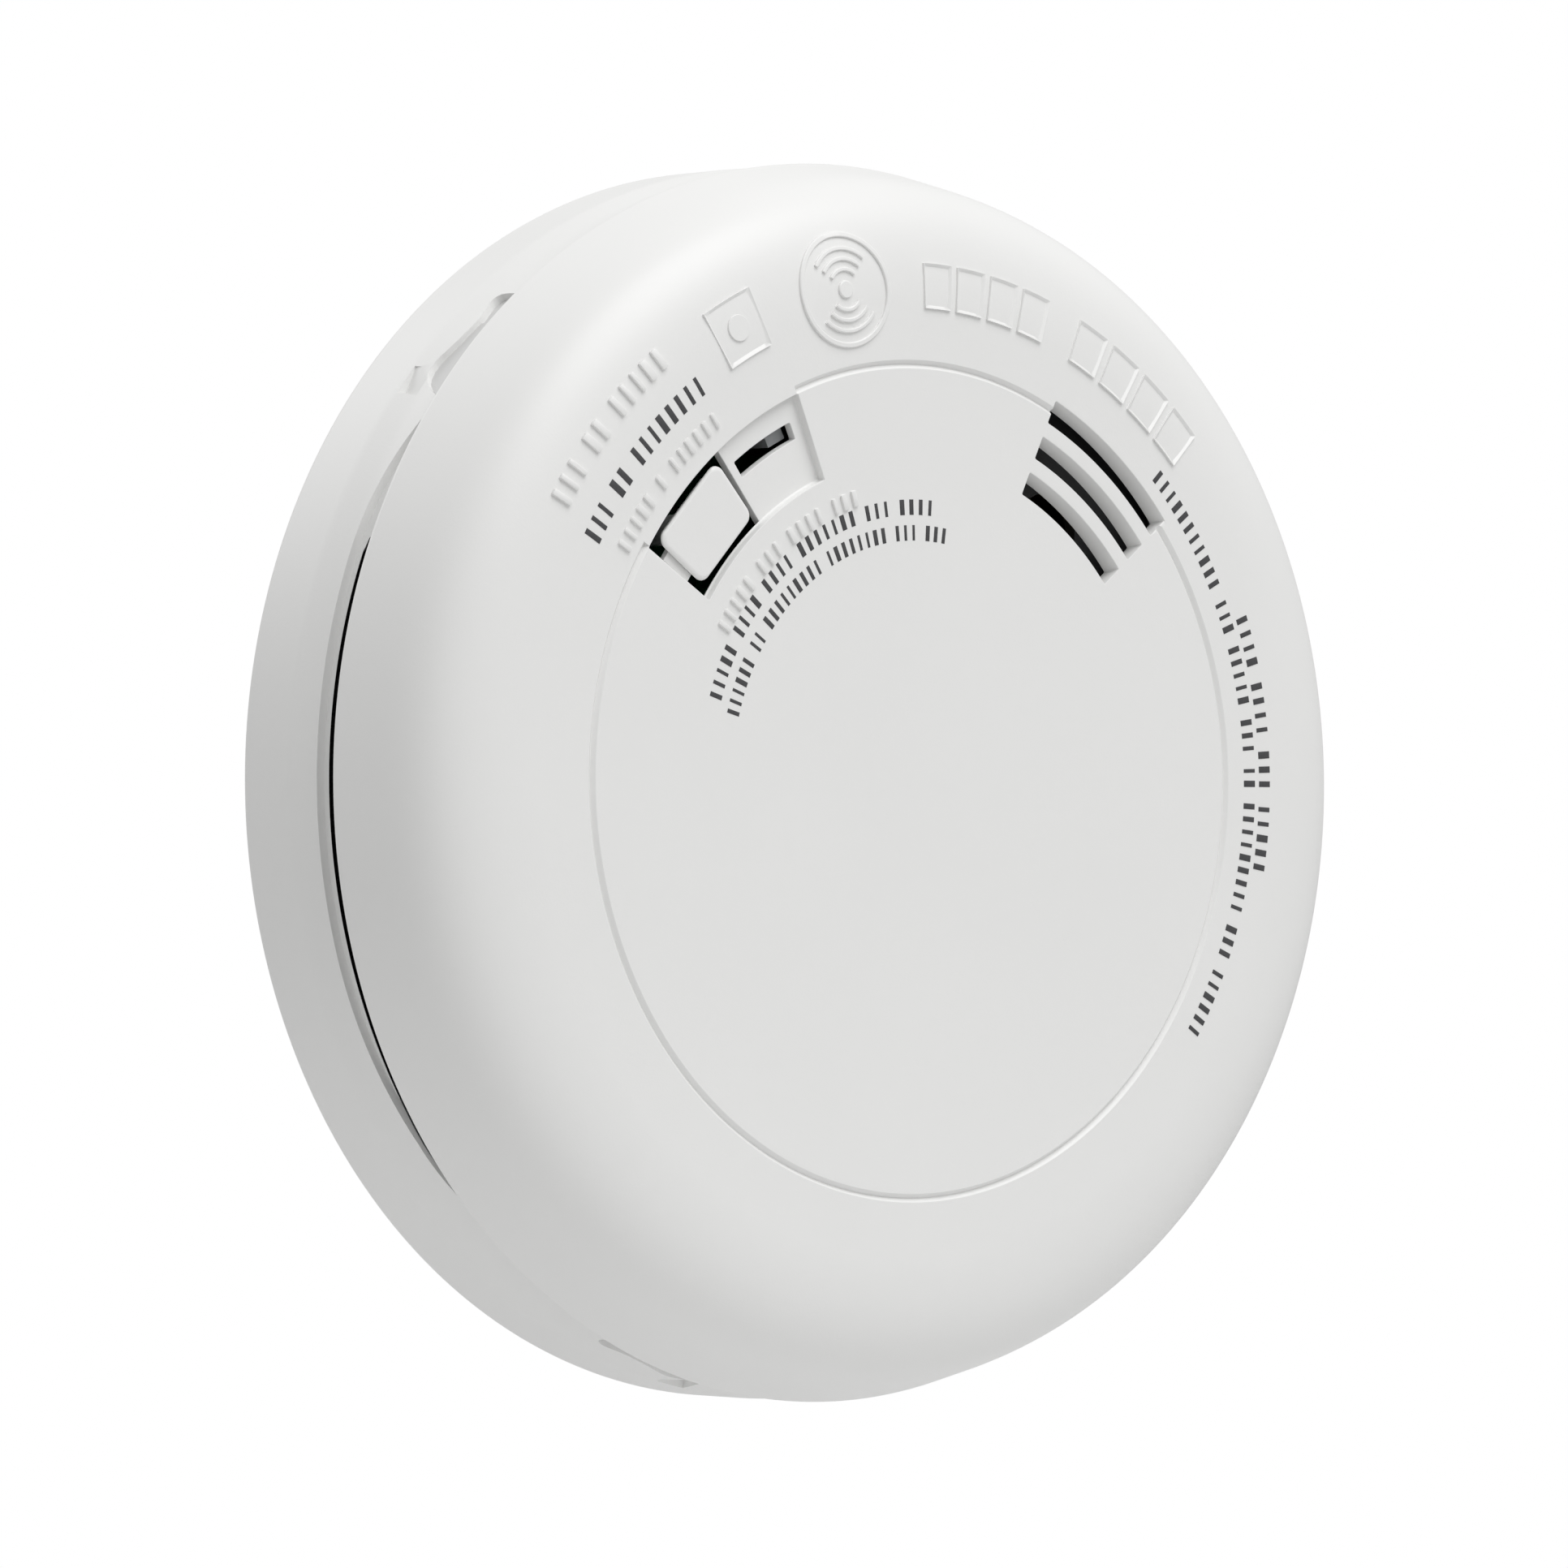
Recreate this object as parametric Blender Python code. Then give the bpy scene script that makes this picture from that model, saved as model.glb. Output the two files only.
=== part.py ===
"""Slim round alarm for carbon monoxide and smoke: bracket, housing, cover and all that they hold.

Metres, +Z up. The bracket's back lies on the wall plane at y = 0 and the alarm faces -Y.
Each piece is modelled in plan: x to the right, y up the wall and z out from the wall, under one
empty that turns the plan upright. Angles are in degrees, anticlockwise as seen from the front.
"""

import math

import bmesh
import bpy
from mathutils import Matrix, Vector

# Overall
COVER_RADIUS = 0.0710
FACE_HEIGHT = 0.0330
GAP = 0.0003
ROUND_STEPS = 72
SMALL_STEPS = 20
SECTOR_STEP = 5.0
THIRDS = (0.0, 120.0, 240.0)

# Mounting bracket
PLATE_THICKNESS = 0.0024
BRACKET_WALL = 0.0020
FLANGE_REACH = 0.0074
FLANGE_UNDERSIDE = 0.0031
FLANGE_THICKNESS = 0.0016
FLANGE_TOP = FLANGE_UNDERSIDE + FLANGE_THICKNESS
FLANGE_CLEARANCE = 0.0012
SCREW_SPACING = 0.0840
SCREW_SLOT_WIDTH = 0.0040
SCREW_SLOT_LENGTH = 0.0110
SCREW_SLOT_TURN = 12.0

# Back housing
WALL_CLEARANCE = 0.0004
HOUSING_INSET = 0.00015
HOUSING_WALL = 0.0026
SKIRT_WALL = 0.0022
FLOOR_UNDERSIDE = FLANGE_TOP + 0.0005
FLOOR_THICKNESS = 0.0020
FLOOR_TOP = FLOOR_UNDERSIDE + FLOOR_THICKNESS
HOUSING_RADIUS = COVER_RADIUS - HOUSING_INSET
HOUSING_INNER = HOUSING_RADIUS - HOUSING_WALL
SKIRT_INNER = HOUSING_RADIUS - SKIRT_WALL
FLANGE_RADIUS = SKIRT_INNER - FLANGE_CLEARANCE
PLATE_RADIUS = FLANGE_RADIUS - FLANGE_REACH

# Seam, air vents and latches between housing and cover
RIM_HEIGHT = 0.0168
SEAM = 0.0004
RING_TOP = RIM_HEIGHT - SEAM
RABBET_HEIGHT = 0.0131
RABBET_DEPTH = 0.0016
RABBET_LEAD = 12.0
RABBET_TAIL = 0.6
TAPER_START = 0.0094
TAPER_INSET = 0.0008
VENT_HEIGHT = 0.0023
VENT_CENTRE = 189.5
VENT_SPAN = 65.0
VENT_SCREEN_INSET = 0.0006
VENT_SCREEN_THICKNESS = 0.0006
VENT_SCREEN_MARGIN = 2.0
LATCH_CENTRES = (136.0, 251.0, 13.5)
LATCH_WINDOW_SPAN = 14.0
LATCH_WINDOW_DEPTH = 0.0036
LATCH_SPAN = 9.0
LATCH_THICKNESS = 0.0018
LATCH_FOOT = FLOOR_TOP + 0.0010
BARB_HEIGHT = 0.0016
BARB_REACH = 0.0008

# Bayonet between bracket and housing
LUG_SPAN = 10.0
LUG_REACH = 0.0051
LUG_BOTTOM = 0.0009
LUG_TOP = FLANGE_UNDERSIDE - 0.0004
TWIST = 18.0
NOTCH_SPAN = LUG_SPAN + 3.0
STOP_SPAN = 1.4

# Front cover
COVER_WALL = 0.0022
SIDE_TOP = (COVER_RADIUS - 0.0013, RIM_HEIGHT + 0.0052)
SHOULDER_HANDLE = (COVER_RADIUS - 0.0027, RIM_HEIGHT + 0.0105)
FACE_HANDLE = (COVER_RADIUS - 0.0035, FACE_HEIGHT)
FACE_EDGE = (COVER_RADIUS - 0.0182, FACE_HEIGHT)
SHOULDER_STEPS = 8
RECESS_DEPTH = 0.0010
RECESS_INNER = 0.0364
RECESS_OUTER = 0.0467
RECESS_START = 112.3
RECESS_END = 147.0
RECESS_LEDGE = 0.0003
SLOT_PITCH = 0.0046
SLOT_WIDTH = 0.0028
SLOT_COUNT = 3
SLOT_OUTERMOST = 0.0485
SLOT_LEAN = 0.0005
SLOT_START = 39.0
SLOT_END = 64.5
LIGHT_SLOT_RADIUS = 0.0429
LIGHT_SLOT_WIDTH = 0.0020
LIGHT_SLOT_START = 114.3
LIGHT_SLOT_END = 126.5

# Test button on its hinge tongue
OPENING_START = 128.0
BUTTON_GAP = 0.0009
BUTTON_SINK = 0.0002
BUTTON_THICKNESS = 0.0019
TONGUE_WIDTH = 0.0041
TONGUE_THICKNESS = 0.0009
BUTTON_RADIUS = (RECESS_INNER + RECESS_OUTER) / 2
BUTTON_POST_ANGLE = 138.0
BUTTON_POST_RADIUS = 0.0017

# Circuit board and its screws
BOARD_LIFT = 0.0020
BOARD_BOTTOM = FLOOR_TOP + BOARD_LIFT
BOARD_THICKNESS = 0.0016
BOARD_TOP = BOARD_BOTTOM + BOARD_THICKNESS
BOARD_EDGE_CLEARANCE = 0.0058
BOARD_RADIUS = HOUSING_INNER - BOARD_EDGE_CLEARANCE
BOARD_FLAT = -0.0335
BOSS_RADIUS = 0.0036
BOSS_INSET = 0.0060
BOSS_ANGLES = (95.0, 200.0, 340.0)
SCREW_RADIUS = 0.0012
SCREW_HEAD_RADIUS = 0.0026
SCREW_HEAD_HEIGHT = 0.0018
SEAT = BOARD_TOP + GAP

# Smoke chamber
CHAMBER_CENTRE = (-0.0260, -0.0080)
CHAMBER_RADIUS = 0.0200
CHAMBER_FLOOR = 0.0026
CHAMBER_HEIGHT = 0.0150
CHAMBER_LID = 0.0014
VANE_COUNT = 18
VANE_THICKNESS = 0.0008
VANE_LENGTH = 0.0044
VANE_TURN = 55.0
SCREEN_THICKNESS = 0.0003
OPTICS_RADIUS = 0.0025
OPTICS_BLOCK = (0.0078, 0.0076, 0.0070)
OPTICS_REACH = 0.0092
LED_ANGLE = 215.0
DIODE_ANGLE = 80.0

# Carbon monoxide cell
CELL_CENTRE = (0.0200, -0.0140)
CELL_RADIUS = 0.0100
CELL_HEIGHT = 0.0150
CELL_CAP_HEIGHT = 0.0018
CELL_INLET_RADIUS = 0.0016

# Horn
HORN_CENTRE = (0.0240, 0.0290)
HORN_RADIUS = 0.0170
HORN_WALL = 0.0016
HORN_TOP = FACE_HEIGHT - COVER_WALL - 0.0032
HORN_MOUTH_RADIUS = 0.0045
DISC_RADIUS = 0.0135
DISC_THICKNESS = 0.0004
CERAMIC_RADIUS = 0.0095
DISC_HEIGHT = HORN_TOP - 0.0070
RETAINER_HEIGHT = 0.0018
CONTACT_WIRE = 0.00035
CONTACT_RADII = (0.0, 0.0065, 0.0110)

# Sealed battery pack
BATTERY_RADIUS = 0.0085
BATTERY_LENGTH = 0.0345
BATTERY_LIFT = 0.0008
BAY_CLEARANCE = 0.0022
TERMINAL_RADIUS = 0.0032
TERMINAL_HEIGHT = 0.0008
STRAP_THICKNESS = 0.0004
STRAP_WIDTH = 0.0060
BATTERY_Y = BOARD_FLAT - BAY_CLEARANCE - BATTERY_RADIUS
BATTERY_Z = FLOOR_TOP + BATTERY_LIFT + BATTERY_RADIUS
BATTERY_GAP = STRAP_THICKNESS + 2 * GAP
SADDLE_THICKNESS = 0.0016
SADDLE_RISE = 0.0065
LEAD_RADIUS = 0.0006
LEAD_LANDING = 0.0060

# Test switch, indicator lights and light pipe
SWITCH_BODY = 0.0062
SWITCH_HEIGHT = 0.0036
PLUNGER_RADIUS = 0.0016
PLUNGER_TOP = SEAT + SWITCH_HEIGHT + 0.0024
PLUNGER_DEPTH = 0.0018
PIPE_ANGLE = 116.2
PIPE_LENGTH = 0.0026
PIPE_WIDTH = 0.0016
PIPE_FOOT = (0.0064, 0.0030, 0.0016)
LAMP_SIZE = (0.0016, 0.0010, 0.0009)
LAMP_PITCH = 0.0028

# Power switch reached from behind
POWER_CENTRE = (0.0450, 0.0080)
POWER_BODY = (0.0090, 0.0046, 0.0030)
POWER_TRAVEL = 0.0020
KNOB = (0.0020, 0.0014)
KNOB_REACH = 0.0018
KNOB_DEPTH = 0.0012

# Label on the housing's back
LABEL_RADIUS = 0.0360

MATERIALS = {
    "white_plastic": ((0.84, 0.84, 0.83), 0.45, 0.0),
    "bracket_plastic": ((0.80, 0.80, 0.79), 0.50, 0.0),
    "black_plastic": ((0.015, 0.015, 0.016), 0.55, 0.0),
    "board_green": ((0.02, 0.16, 0.06), 0.40, 0.0),
    "steel": ((0.55, 0.55, 0.56), 0.30, 1.0),
    "brass": ((0.72, 0.52, 0.20), 0.30, 1.0),
    "nickel": ((0.66, 0.64, 0.60), 0.30, 1.0),
    "ceramic": ((0.75, 0.72, 0.66), 0.40, 0.0),
    "clear_acrylic": ((0.80, 0.83, 0.85), 0.10, 0.0),
    "battery_wrap": ((0.05, 0.12, 0.35), 0.35, 0.0),
    "cell_blue": ((0.10, 0.22, 0.50), 0.40, 0.0),
    "red_plastic": ((0.60, 0.03, 0.03), 0.35, 0.0),
    "green_plastic": ((0.05, 0.45, 0.10), 0.35, 0.0),
    "capacitor_wrap": ((0.03, 0.03, 0.08), 0.40, 0.0),
    "ferrite": ((0.06, 0.06, 0.06), 0.60, 0.0),
    "label_paper": ((0.78, 0.79, 0.80), 0.60, 0.0),
}


def clear_scene():
    for obj in list(bpy.data.objects):
        bpy.data.objects.remove(obj)


def upright_frame():
    """The empty that stands the plan up, so that plan z points along -Y."""
    frame = bpy.data.objects.new("wall_frame", None)
    frame.rotation_euler = (math.pi / 2, 0.0, 0.0)
    bpy.context.scene.collection.objects.link(frame)
    return frame


def material(name):
    found = bpy.data.materials.get(name)
    if found:
        return found
    colour, roughness, metallic = MATERIALS[name]
    made = bpy.data.materials.new(name)
    made.use_nodes = True
    shader = made.node_tree.nodes["Principled BSDF"]
    shader.inputs["Base Color"].default_value = (*colour, 1.0)
    shader.inputs["Roughness"].default_value = roughness
    shader.inputs["Metallic"].default_value = metallic
    return made


def polar(radius, angle, height=0.0):
    turn = math.radians(angle)
    return Vector((radius * math.cos(turn), radius * math.sin(turn), height))


# Shapes: each adds closed solids to a bmesh


def turn(bm, profile, centre=(0.0, 0.0), steps=ROUND_STEPS):
    """A turned solid. The profile of (radius, height) points starts and ends on the axis, or is closed."""
    points = [bm.verts.new((centre[0] + r, centre[1], z)) for r, z in profile]
    pairs = list(zip(points, points[1:]))
    if profile[0][0] > 0.0:
        pairs.append((points[-1], points[0]))
    edges = [bm.edges.new(pair) for pair in pairs]
    bmesh.ops.spin(
        bm,
        geom=points + edges,
        cent=(*centre, 0.0),
        axis=(0.0, 0.0, 1.0),
        angle=math.tau,
        steps=steps,
        use_merge=True,
    )
    bmesh.ops.remove_doubles(bm, verts=bm.verts, dist=1e-6)


def cylinder(bm, centre, radius, bottom, top, steps=SMALL_STEPS):
    turn(bm, [(0.0, bottom), (radius, bottom), (radius, top), (0.0, top)], centre, steps)


def sweep(bm, section, start, end):
    """The solid that a section of (radius, height) points leaves as it turns about the main axis."""
    face = bm.faces.new([bm.verts.new(polar(r, start, z)) for r, z in section])
    bmesh.ops.spin(
        bm,
        geom=[face],
        cent=(0.0, 0.0, 0.0),
        axis=(0.0, 0.0, 1.0),
        angle=math.radians(end - start),
        steps=max(1, round((end - start) / SECTOR_STEP)),
    )


def sector(bm, inner, outer, start, end, bottom, top):
    sweep(bm, [(inner, bottom), (outer, bottom), (outer, top), (inner, top)], start, end)


def prism(bm, outline, bottom, top):
    floor = bm.faces.new([bm.verts.new((x, y, bottom)) for x, y in outline])
    raised = bmesh.ops.extrude_face_region(bm, geom=[floor])
    corners = [item for item in raised["geom"] if isinstance(item, bmesh.types.BMVert)]
    bmesh.ops.translate(bm, verts=corners, vec=(0.0, 0.0, top - bottom))


def block(bm, centre, size, bottom, angle=0.0):
    """A box standing on bottom, turned by angle about its own middle."""
    place = Matrix.Translation((*centre, bottom + size[2] / 2))
    place = place @ Matrix.Rotation(math.radians(angle), 4, "Z")
    bmesh.ops.create_cube(bm, size=1.0, matrix=place @ Matrix.Diagonal((*size, 1.0)))


# Objects


def add_piece(name, bm, finish, origin=(0.0, 0.0, 0.0)):
    """Makes the bmesh an object of the model, with its origin at a point of the plan."""
    bmesh.ops.recalc_face_normals(bm, faces=bm.faces)
    mesh = bpy.data.meshes.new(name)
    bm.to_mesh(mesh)
    bm.free()
    mesh.transform(Matrix.Translation(-Vector(origin)))
    mesh.materials.append(material(finish))
    mesh.shade_smooth()
    mesh.set_sharp_from_angle(angle=math.radians(30.0))
    piece = bpy.data.objects.new(name, mesh)
    bpy.context.scene.collection.objects.link(piece)
    piece.parent = FRAME
    piece.location = origin
    return piece


def combine(piece, bm, operation):
    """Cuts the bmesh from the piece, or joins it on, through a Boolean and a hidden helper."""
    label = f"{piece.name}_{operation.lower()}_{len(piece.modifiers)}"
    helper = add_piece(label, bm, "black_plastic")
    helper.hide_render = True
    helper.display_type = "WIRE"
    boolean = piece.modifiers.new(label, "BOOLEAN")
    boolean.operation = operation
    boolean.object = helper
    boolean.solver = "EXACT"


def cut(piece, bm):
    combine(piece, bm, "DIFFERENCE")


def join(piece, bm):
    combine(piece, bm, "UNION")


# Mounting bracket


def screw_slot(bm, centre, straight, angle):
    """A slot with round ends, cut through the bracket's plate."""
    half, corners = SCREW_SLOT_WIDTH / 2, 6
    along = polar(straight / 2, angle)
    outline = []
    for end, first in ((along, angle - 90.0), (-along, angle + 90.0)):
        for step in range(corners + 1):
            corner = centre + end + polar(half, first + 180.0 * step / corners)
            outline.append((corner.x, corner.y))
    prism(bm, outline, -GAP, PLATE_THICKNESS + GAP)


def mounting_bracket():
    bm = bmesh.new()
    wall_inner = PLATE_RADIUS - BRACKET_WALL
    turn(
        bm,
        [
            (0.0, 0.0),
            (PLATE_RADIUS, 0.0),
            (PLATE_RADIUS, FLANGE_UNDERSIDE),
            (FLANGE_RADIUS, FLANGE_UNDERSIDE),
            (FLANGE_RADIUS, FLANGE_TOP),
            (wall_inner, FLANGE_TOP),
            (wall_inner, PLATE_THICKNESS),
            (0.0, PLATE_THICKNESS),
        ],
    )
    bracket = add_piece("mounting_bracket", bm, "bracket_plastic")

    notches = bmesh.new()
    for third in THIRDS:
        middle = VENT_CENTRE + third + TWIST
        half = NOTCH_SPAN / 2
        sector(
            notches,
            PLATE_RADIUS + GAP,
            COVER_RADIUS,
            middle - half,
            middle + half,
            FLANGE_UNDERSIDE - GAP,
            FLANGE_TOP + GAP,
        )
    cut(bracket, notches)

    slots = bmesh.new()
    straight = SCREW_SLOT_LENGTH - SCREW_SLOT_WIDTH
    for quarter in range(4):
        angle = SCREW_SLOT_TURN + 90.0 * quarter
        turned = angle + 90.0 * (quarter % 2)
        centre = polar(SCREW_SPACING / 2, angle)
        screw_slot(slots, centre, straight, turned)
    cut(bracket, slots)

    stops = bmesh.new()
    for third in THIRDS:
        edge = VENT_CENTRE + third - LUG_SPAN / 2 - 0.8
        sector(
            stops,
            PLATE_RADIUS - GAP,
            FLANGE_RADIUS - LUG_REACH / 4,
            edge - STOP_SPAN,
            edge,
            LUG_BOTTOM,
            FLANGE_UNDERSIDE + GAP,
        )
    join(bracket, stops)


# Back housing


def housing_shell():
    tapered = HOUSING_RADIUS - TAPER_INSET
    bm = bmesh.new()
    turn(
        bm,
        [
            (0.0, FLOOR_UNDERSIDE),
            (SKIRT_INNER, FLOOR_UNDERSIDE),
            (SKIRT_INNER, WALL_CLEARANCE),
            (HOUSING_RADIUS, WALL_CLEARANCE),
            (HOUSING_RADIUS, TAPER_START),
            (tapered, RABBET_HEIGHT),
            (tapered, RING_TOP),
            (HOUSING_INNER, RING_TOP),
            (HOUSING_INNER, FLOOR_TOP),
            (0.0, FLOOR_TOP),
        ],
    )
    return add_piece("back_housing", bm, "white_plastic")


def boss_places():
    return [polar(BOARD_RADIUS - BOSS_INSET, angle)[:2] for angle in BOSS_ANGLES]


def back_housing():
    housing = housing_shell()
    inner, outer = HOUSING_INNER - 2 * GAP, COVER_RADIUS + 2 * GAP

    rabbets = bmesh.new()
    for third in THIRDS:
        start = VENT_CENTRE + third - VENT_SPAN / 2 - RABBET_LEAD
        end = VENT_CENTRE + third + VENT_SPAN / 2 + RABBET_TAIL
        floor = HOUSING_RADIUS - RABBET_DEPTH
        sector(rabbets, floor, outer, start, end, RABBET_HEIGHT, RIM_HEIGHT)
    cut(housing, rabbets)

    openings = bmesh.new()
    for third in THIRDS:
        middle, half = VENT_CENTRE + third, VENT_SPAN / 2
        floor = RIM_HEIGHT - VENT_HEIGHT
        sector(openings, inner, outer, middle - half, middle + half, floor, RIM_HEIGHT)
    for middle in LATCH_CENTRES:
        half, floor = LATCH_WINDOW_SPAN / 2, RIM_HEIGHT - LATCH_WINDOW_DEPTH
        sector(openings, inner, outer, middle - half, middle + half, floor, RIM_HEIGHT)
    cut(housing, openings)

    pockets = bmesh.new()
    for middle in LATCH_CENTRES:
        half = LATCH_SPAN / 2 + 0.5
        reach = HOUSING_INNER + BARB_REACH + GAP
        pocket_top = LATCH_FOOT + BARB_HEIGHT + GAP
        sector(pockets, inner, reach, middle - half, middle + half, LATCH_FOOT - GAP, pocket_top)
    cut(housing, pockets)

    mounts = bmesh.new()
    for x, y in boss_places():
        cylinder(mounts, (x, y), BOSS_RADIUS, FLOOR_TOP - GAP, BOARD_BOTTOM - GAP)
    for third in THIRDS:
        middle = VENT_CENTRE + third
        half = LUG_SPAN / 2
        sector(
            mounts,
            SKIRT_INNER - LUG_REACH,
            SKIRT_INNER + 2 * GAP,
            middle - half,
            middle + half,
            LUG_BOTTOM,
            LUG_TOP,
        )
    half_pack = BATTERY_GAP / 2 + BATTERY_LENGTH
    for share in (0.28, 0.76):
        for side in (-1, 1):
            size = (SADDLE_THICKNESS, 2 * BATTERY_RADIUS + 0.002, SADDLE_RISE + GAP)
            block(mounts, (side * share * half_pack, BATTERY_Y), size, FLOOR_TOP - GAP)
    join(housing, mounts)

    bores = bmesh.new()
    for x, y in boss_places():
        cylinder(bores, (x, y), SCREW_RADIUS + GAP, FLOOR_UNDERSIDE + 0.0006, BOARD_TOP)
    cut(housing, bores)

    cradle = bmesh.new()
    battery_shape(cradle, 0.0, 2 * half_pack + 4 * GAP, BATTERY_RADIUS + GAP, False)
    cut(housing, cradle)

    hatch = bmesh.new()
    length, width, _ = POWER_BODY
    size = (length + 4 * GAP, width + 4 * GAP, FLOOR_THICKNESS + 4 * GAP)
    block(hatch, POWER_CENTRE, size, FLOOR_UNDERSIDE - 2 * GAP)
    cut(housing, hatch)


def vent_screens():
    """The curved strips of mesh that stand behind the air vents and keep insects out."""
    outer = HOUSING_INNER - VENT_SCREEN_INSET
    half = VENT_SPAN / 2 + VENT_SCREEN_MARGIN
    top = RIM_HEIGHT + 2 * GAP
    for number, third in enumerate(THIRDS, 1):
        middle = VENT_CENTRE + third
        bm = bmesh.new()
        inner = outer - VENT_SCREEN_THICKNESS
        sector(bm, inner, outer, middle - half, middle + half, FLOOR_TOP + GAP, top)
        add_piece(f"vent_screen_{number}", bm, "black_plastic")


def rating_label():
    bm = bmesh.new()
    top = FLOOR_UNDERSIDE - GAP
    cylinder(bm, (0.0, 0.0), LABEL_RADIUS, top - GAP, top, ROUND_STEPS // 2)
    add_piece("rating_label", bm, "label_paper")


# Front cover


def curve_point(handles, share):
    """A point on the smooth curve through four Bezier handles."""
    a, b, c, d = (Vector(handle) for handle in handles)
    rest = 1.0 - share
    return a * rest**3 + b * 3 * rest**2 * share + c * 3 * rest * share**2 + d * share**3


def cover_skin(inset):
    """The cover's section from rim to middle, moved in by inset from its outer face."""
    handles = (SIDE_TOP, SHOULDER_HANDLE, FACE_HANDLE, FACE_EDGE)
    points = [(COVER_RADIUS - inset, RIM_HEIGHT)]
    for step in range(SHOULDER_STEPS + 1):
        share = step / SHOULDER_STEPS
        here = curve_point(handles, share)
        along = curve_point(handles, share + 0.001) - curve_point(handles, share - 0.001)
        inward = Vector((-along.y, along.x)).normalized()
        points.append(tuple(here + inset * inward))
    points.append((0.0, FACE_HEIGHT - inset))
    return points


def slot_edges():
    """Inner and outer radius of each sounder slot, outermost first."""
    outers = [SLOT_OUTERMOST - i * SLOT_PITCH for i in range(SLOT_COUNT)]
    return [(outer - SLOT_WIDTH, outer) for outer in outers]


def front_cover():
    outside, inside = cover_skin(0.0), cover_skin(COVER_WALL)
    bm = bmesh.new()
    turn(bm, outside[::-1] + inside)
    cover = add_piece("front_cover", bm, "white_plastic")
    above, below = FACE_HEIGHT + 2 * GAP, FACE_HEIGHT - 3 * COVER_WALL

    latches = bmesh.new()
    outer = HOUSING_INNER - GAP
    inner, barb = outer - LATCH_THICKNESS, outer + BARB_REACH
    half_wall = COVER_WALL / 2
    section = [
        (inner, LATCH_FOOT),
        (outer, LATCH_FOOT),
        (barb, LATCH_FOOT + BARB_HEIGHT / 2),
        (barb, LATCH_FOOT + BARB_HEIGHT),
        (outer, LATCH_FOOT + BARB_HEIGHT),
        (outer, RIM_HEIGHT + 2 * GAP),
        ((COVER_RADIUS + SIDE_TOP[0]) / 2 - half_wall, (RIM_HEIGHT + SIDE_TOP[1]) / 2),
        (SIDE_TOP[0] - half_wall, SIDE_TOP[1]),
        (inner, RIM_HEIGHT + 5 * GAP),
    ]
    for middle in LATCH_CENTRES:
        sweep(latches, section, middle - LATCH_SPAN / 2, middle + LATCH_SPAN / 2)
    join(cover, latches)

    recess = bmesh.new()
    floor = FACE_HEIGHT - RECESS_DEPTH
    sector(recess, RECESS_INNER, RECESS_OUTER, RECESS_START, RECESS_END, floor, above)
    cut(cover, recess)

    openings = bmesh.new()
    ledge = math.degrees(RECESS_LEDGE / BUTTON_RADIUS)
    opening_inner, opening_outer = RECESS_INNER + RECESS_LEDGE, RECESS_OUTER - RECESS_LEDGE
    end = RECESS_END - ledge
    sector(openings, opening_inner, opening_outer, OPENING_START, end, below, above)
    half = LIGHT_SLOT_WIDTH / 2
    sector(
        openings,
        LIGHT_SLOT_RADIUS - half,
        LIGHT_SLOT_RADIUS + half,
        LIGHT_SLOT_START,
        LIGHT_SLOT_END,
        below,
        above,
    )
    for inner, outer in slot_edges():
        bottom = FACE_HEIGHT - COVER_WALL
        section = [
            (inner, below),
            (outer - SLOT_LEAN, below),
            (outer - SLOT_LEAN, bottom),
            (outer, FACE_HEIGHT),
            (outer, above),
            (inner, above),
        ]
        sweep(openings, section, SLOT_START, SLOT_END)
    cut(cover, openings)


# Test button and switch


def button_hinge():
    """Middle of the hinge line, at the root of the button's tongue."""
    height = FACE_HEIGHT - BUTTON_SINK - BUTTON_THICKNESS + TONGUE_THICKNESS / 2
    ledge = math.degrees(RECESS_LEDGE / BUTTON_RADIUS)
    return polar(BUTTON_RADIUS, RECESS_END - ledge, height)


def test_button():
    gap = BUTTON_GAP + RECESS_LEDGE
    angle_gap = math.degrees(BUTTON_GAP / BUTTON_RADIUS)
    inner, outer = RECESS_INNER + gap, RECESS_OUTER - gap
    start, end = OPENING_START + angle_gap, RECESS_END - 1.6 * angle_gap
    top = FACE_HEIGHT - BUTTON_SINK
    bottom = top - BUTTON_THICKNESS
    bm = bmesh.new()
    sector(bm, inner, outer, start, end, bottom, top)
    button = add_piece("test_button", bm, "white_plastic", button_hinge())
    button.modifiers.new("edges", "BEVEL").width = 0.0003
    button.modifiers["edges"].limit_method = "ANGLE"

    stem = bmesh.new()
    half = TONGUE_WIDTH / 2
    root = RECESS_END - math.degrees((RECESS_LEDGE + GAP) / BUTTON_RADIUS)
    sector(
        stem,
        BUTTON_RADIUS - half,
        BUTTON_RADIUS + half,
        end - 1.0,
        root,
        bottom + 0.0001,
        bottom + TONGUE_THICKNESS,
    )
    x, y, _ = polar(BUTTON_RADIUS, BUTTON_POST_ANGLE)
    cylinder(stem, (x, y), BUTTON_POST_RADIUS, PLUNGER_TOP + GAP, bottom + GAP, 12)
    join(button, stem)


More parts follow.
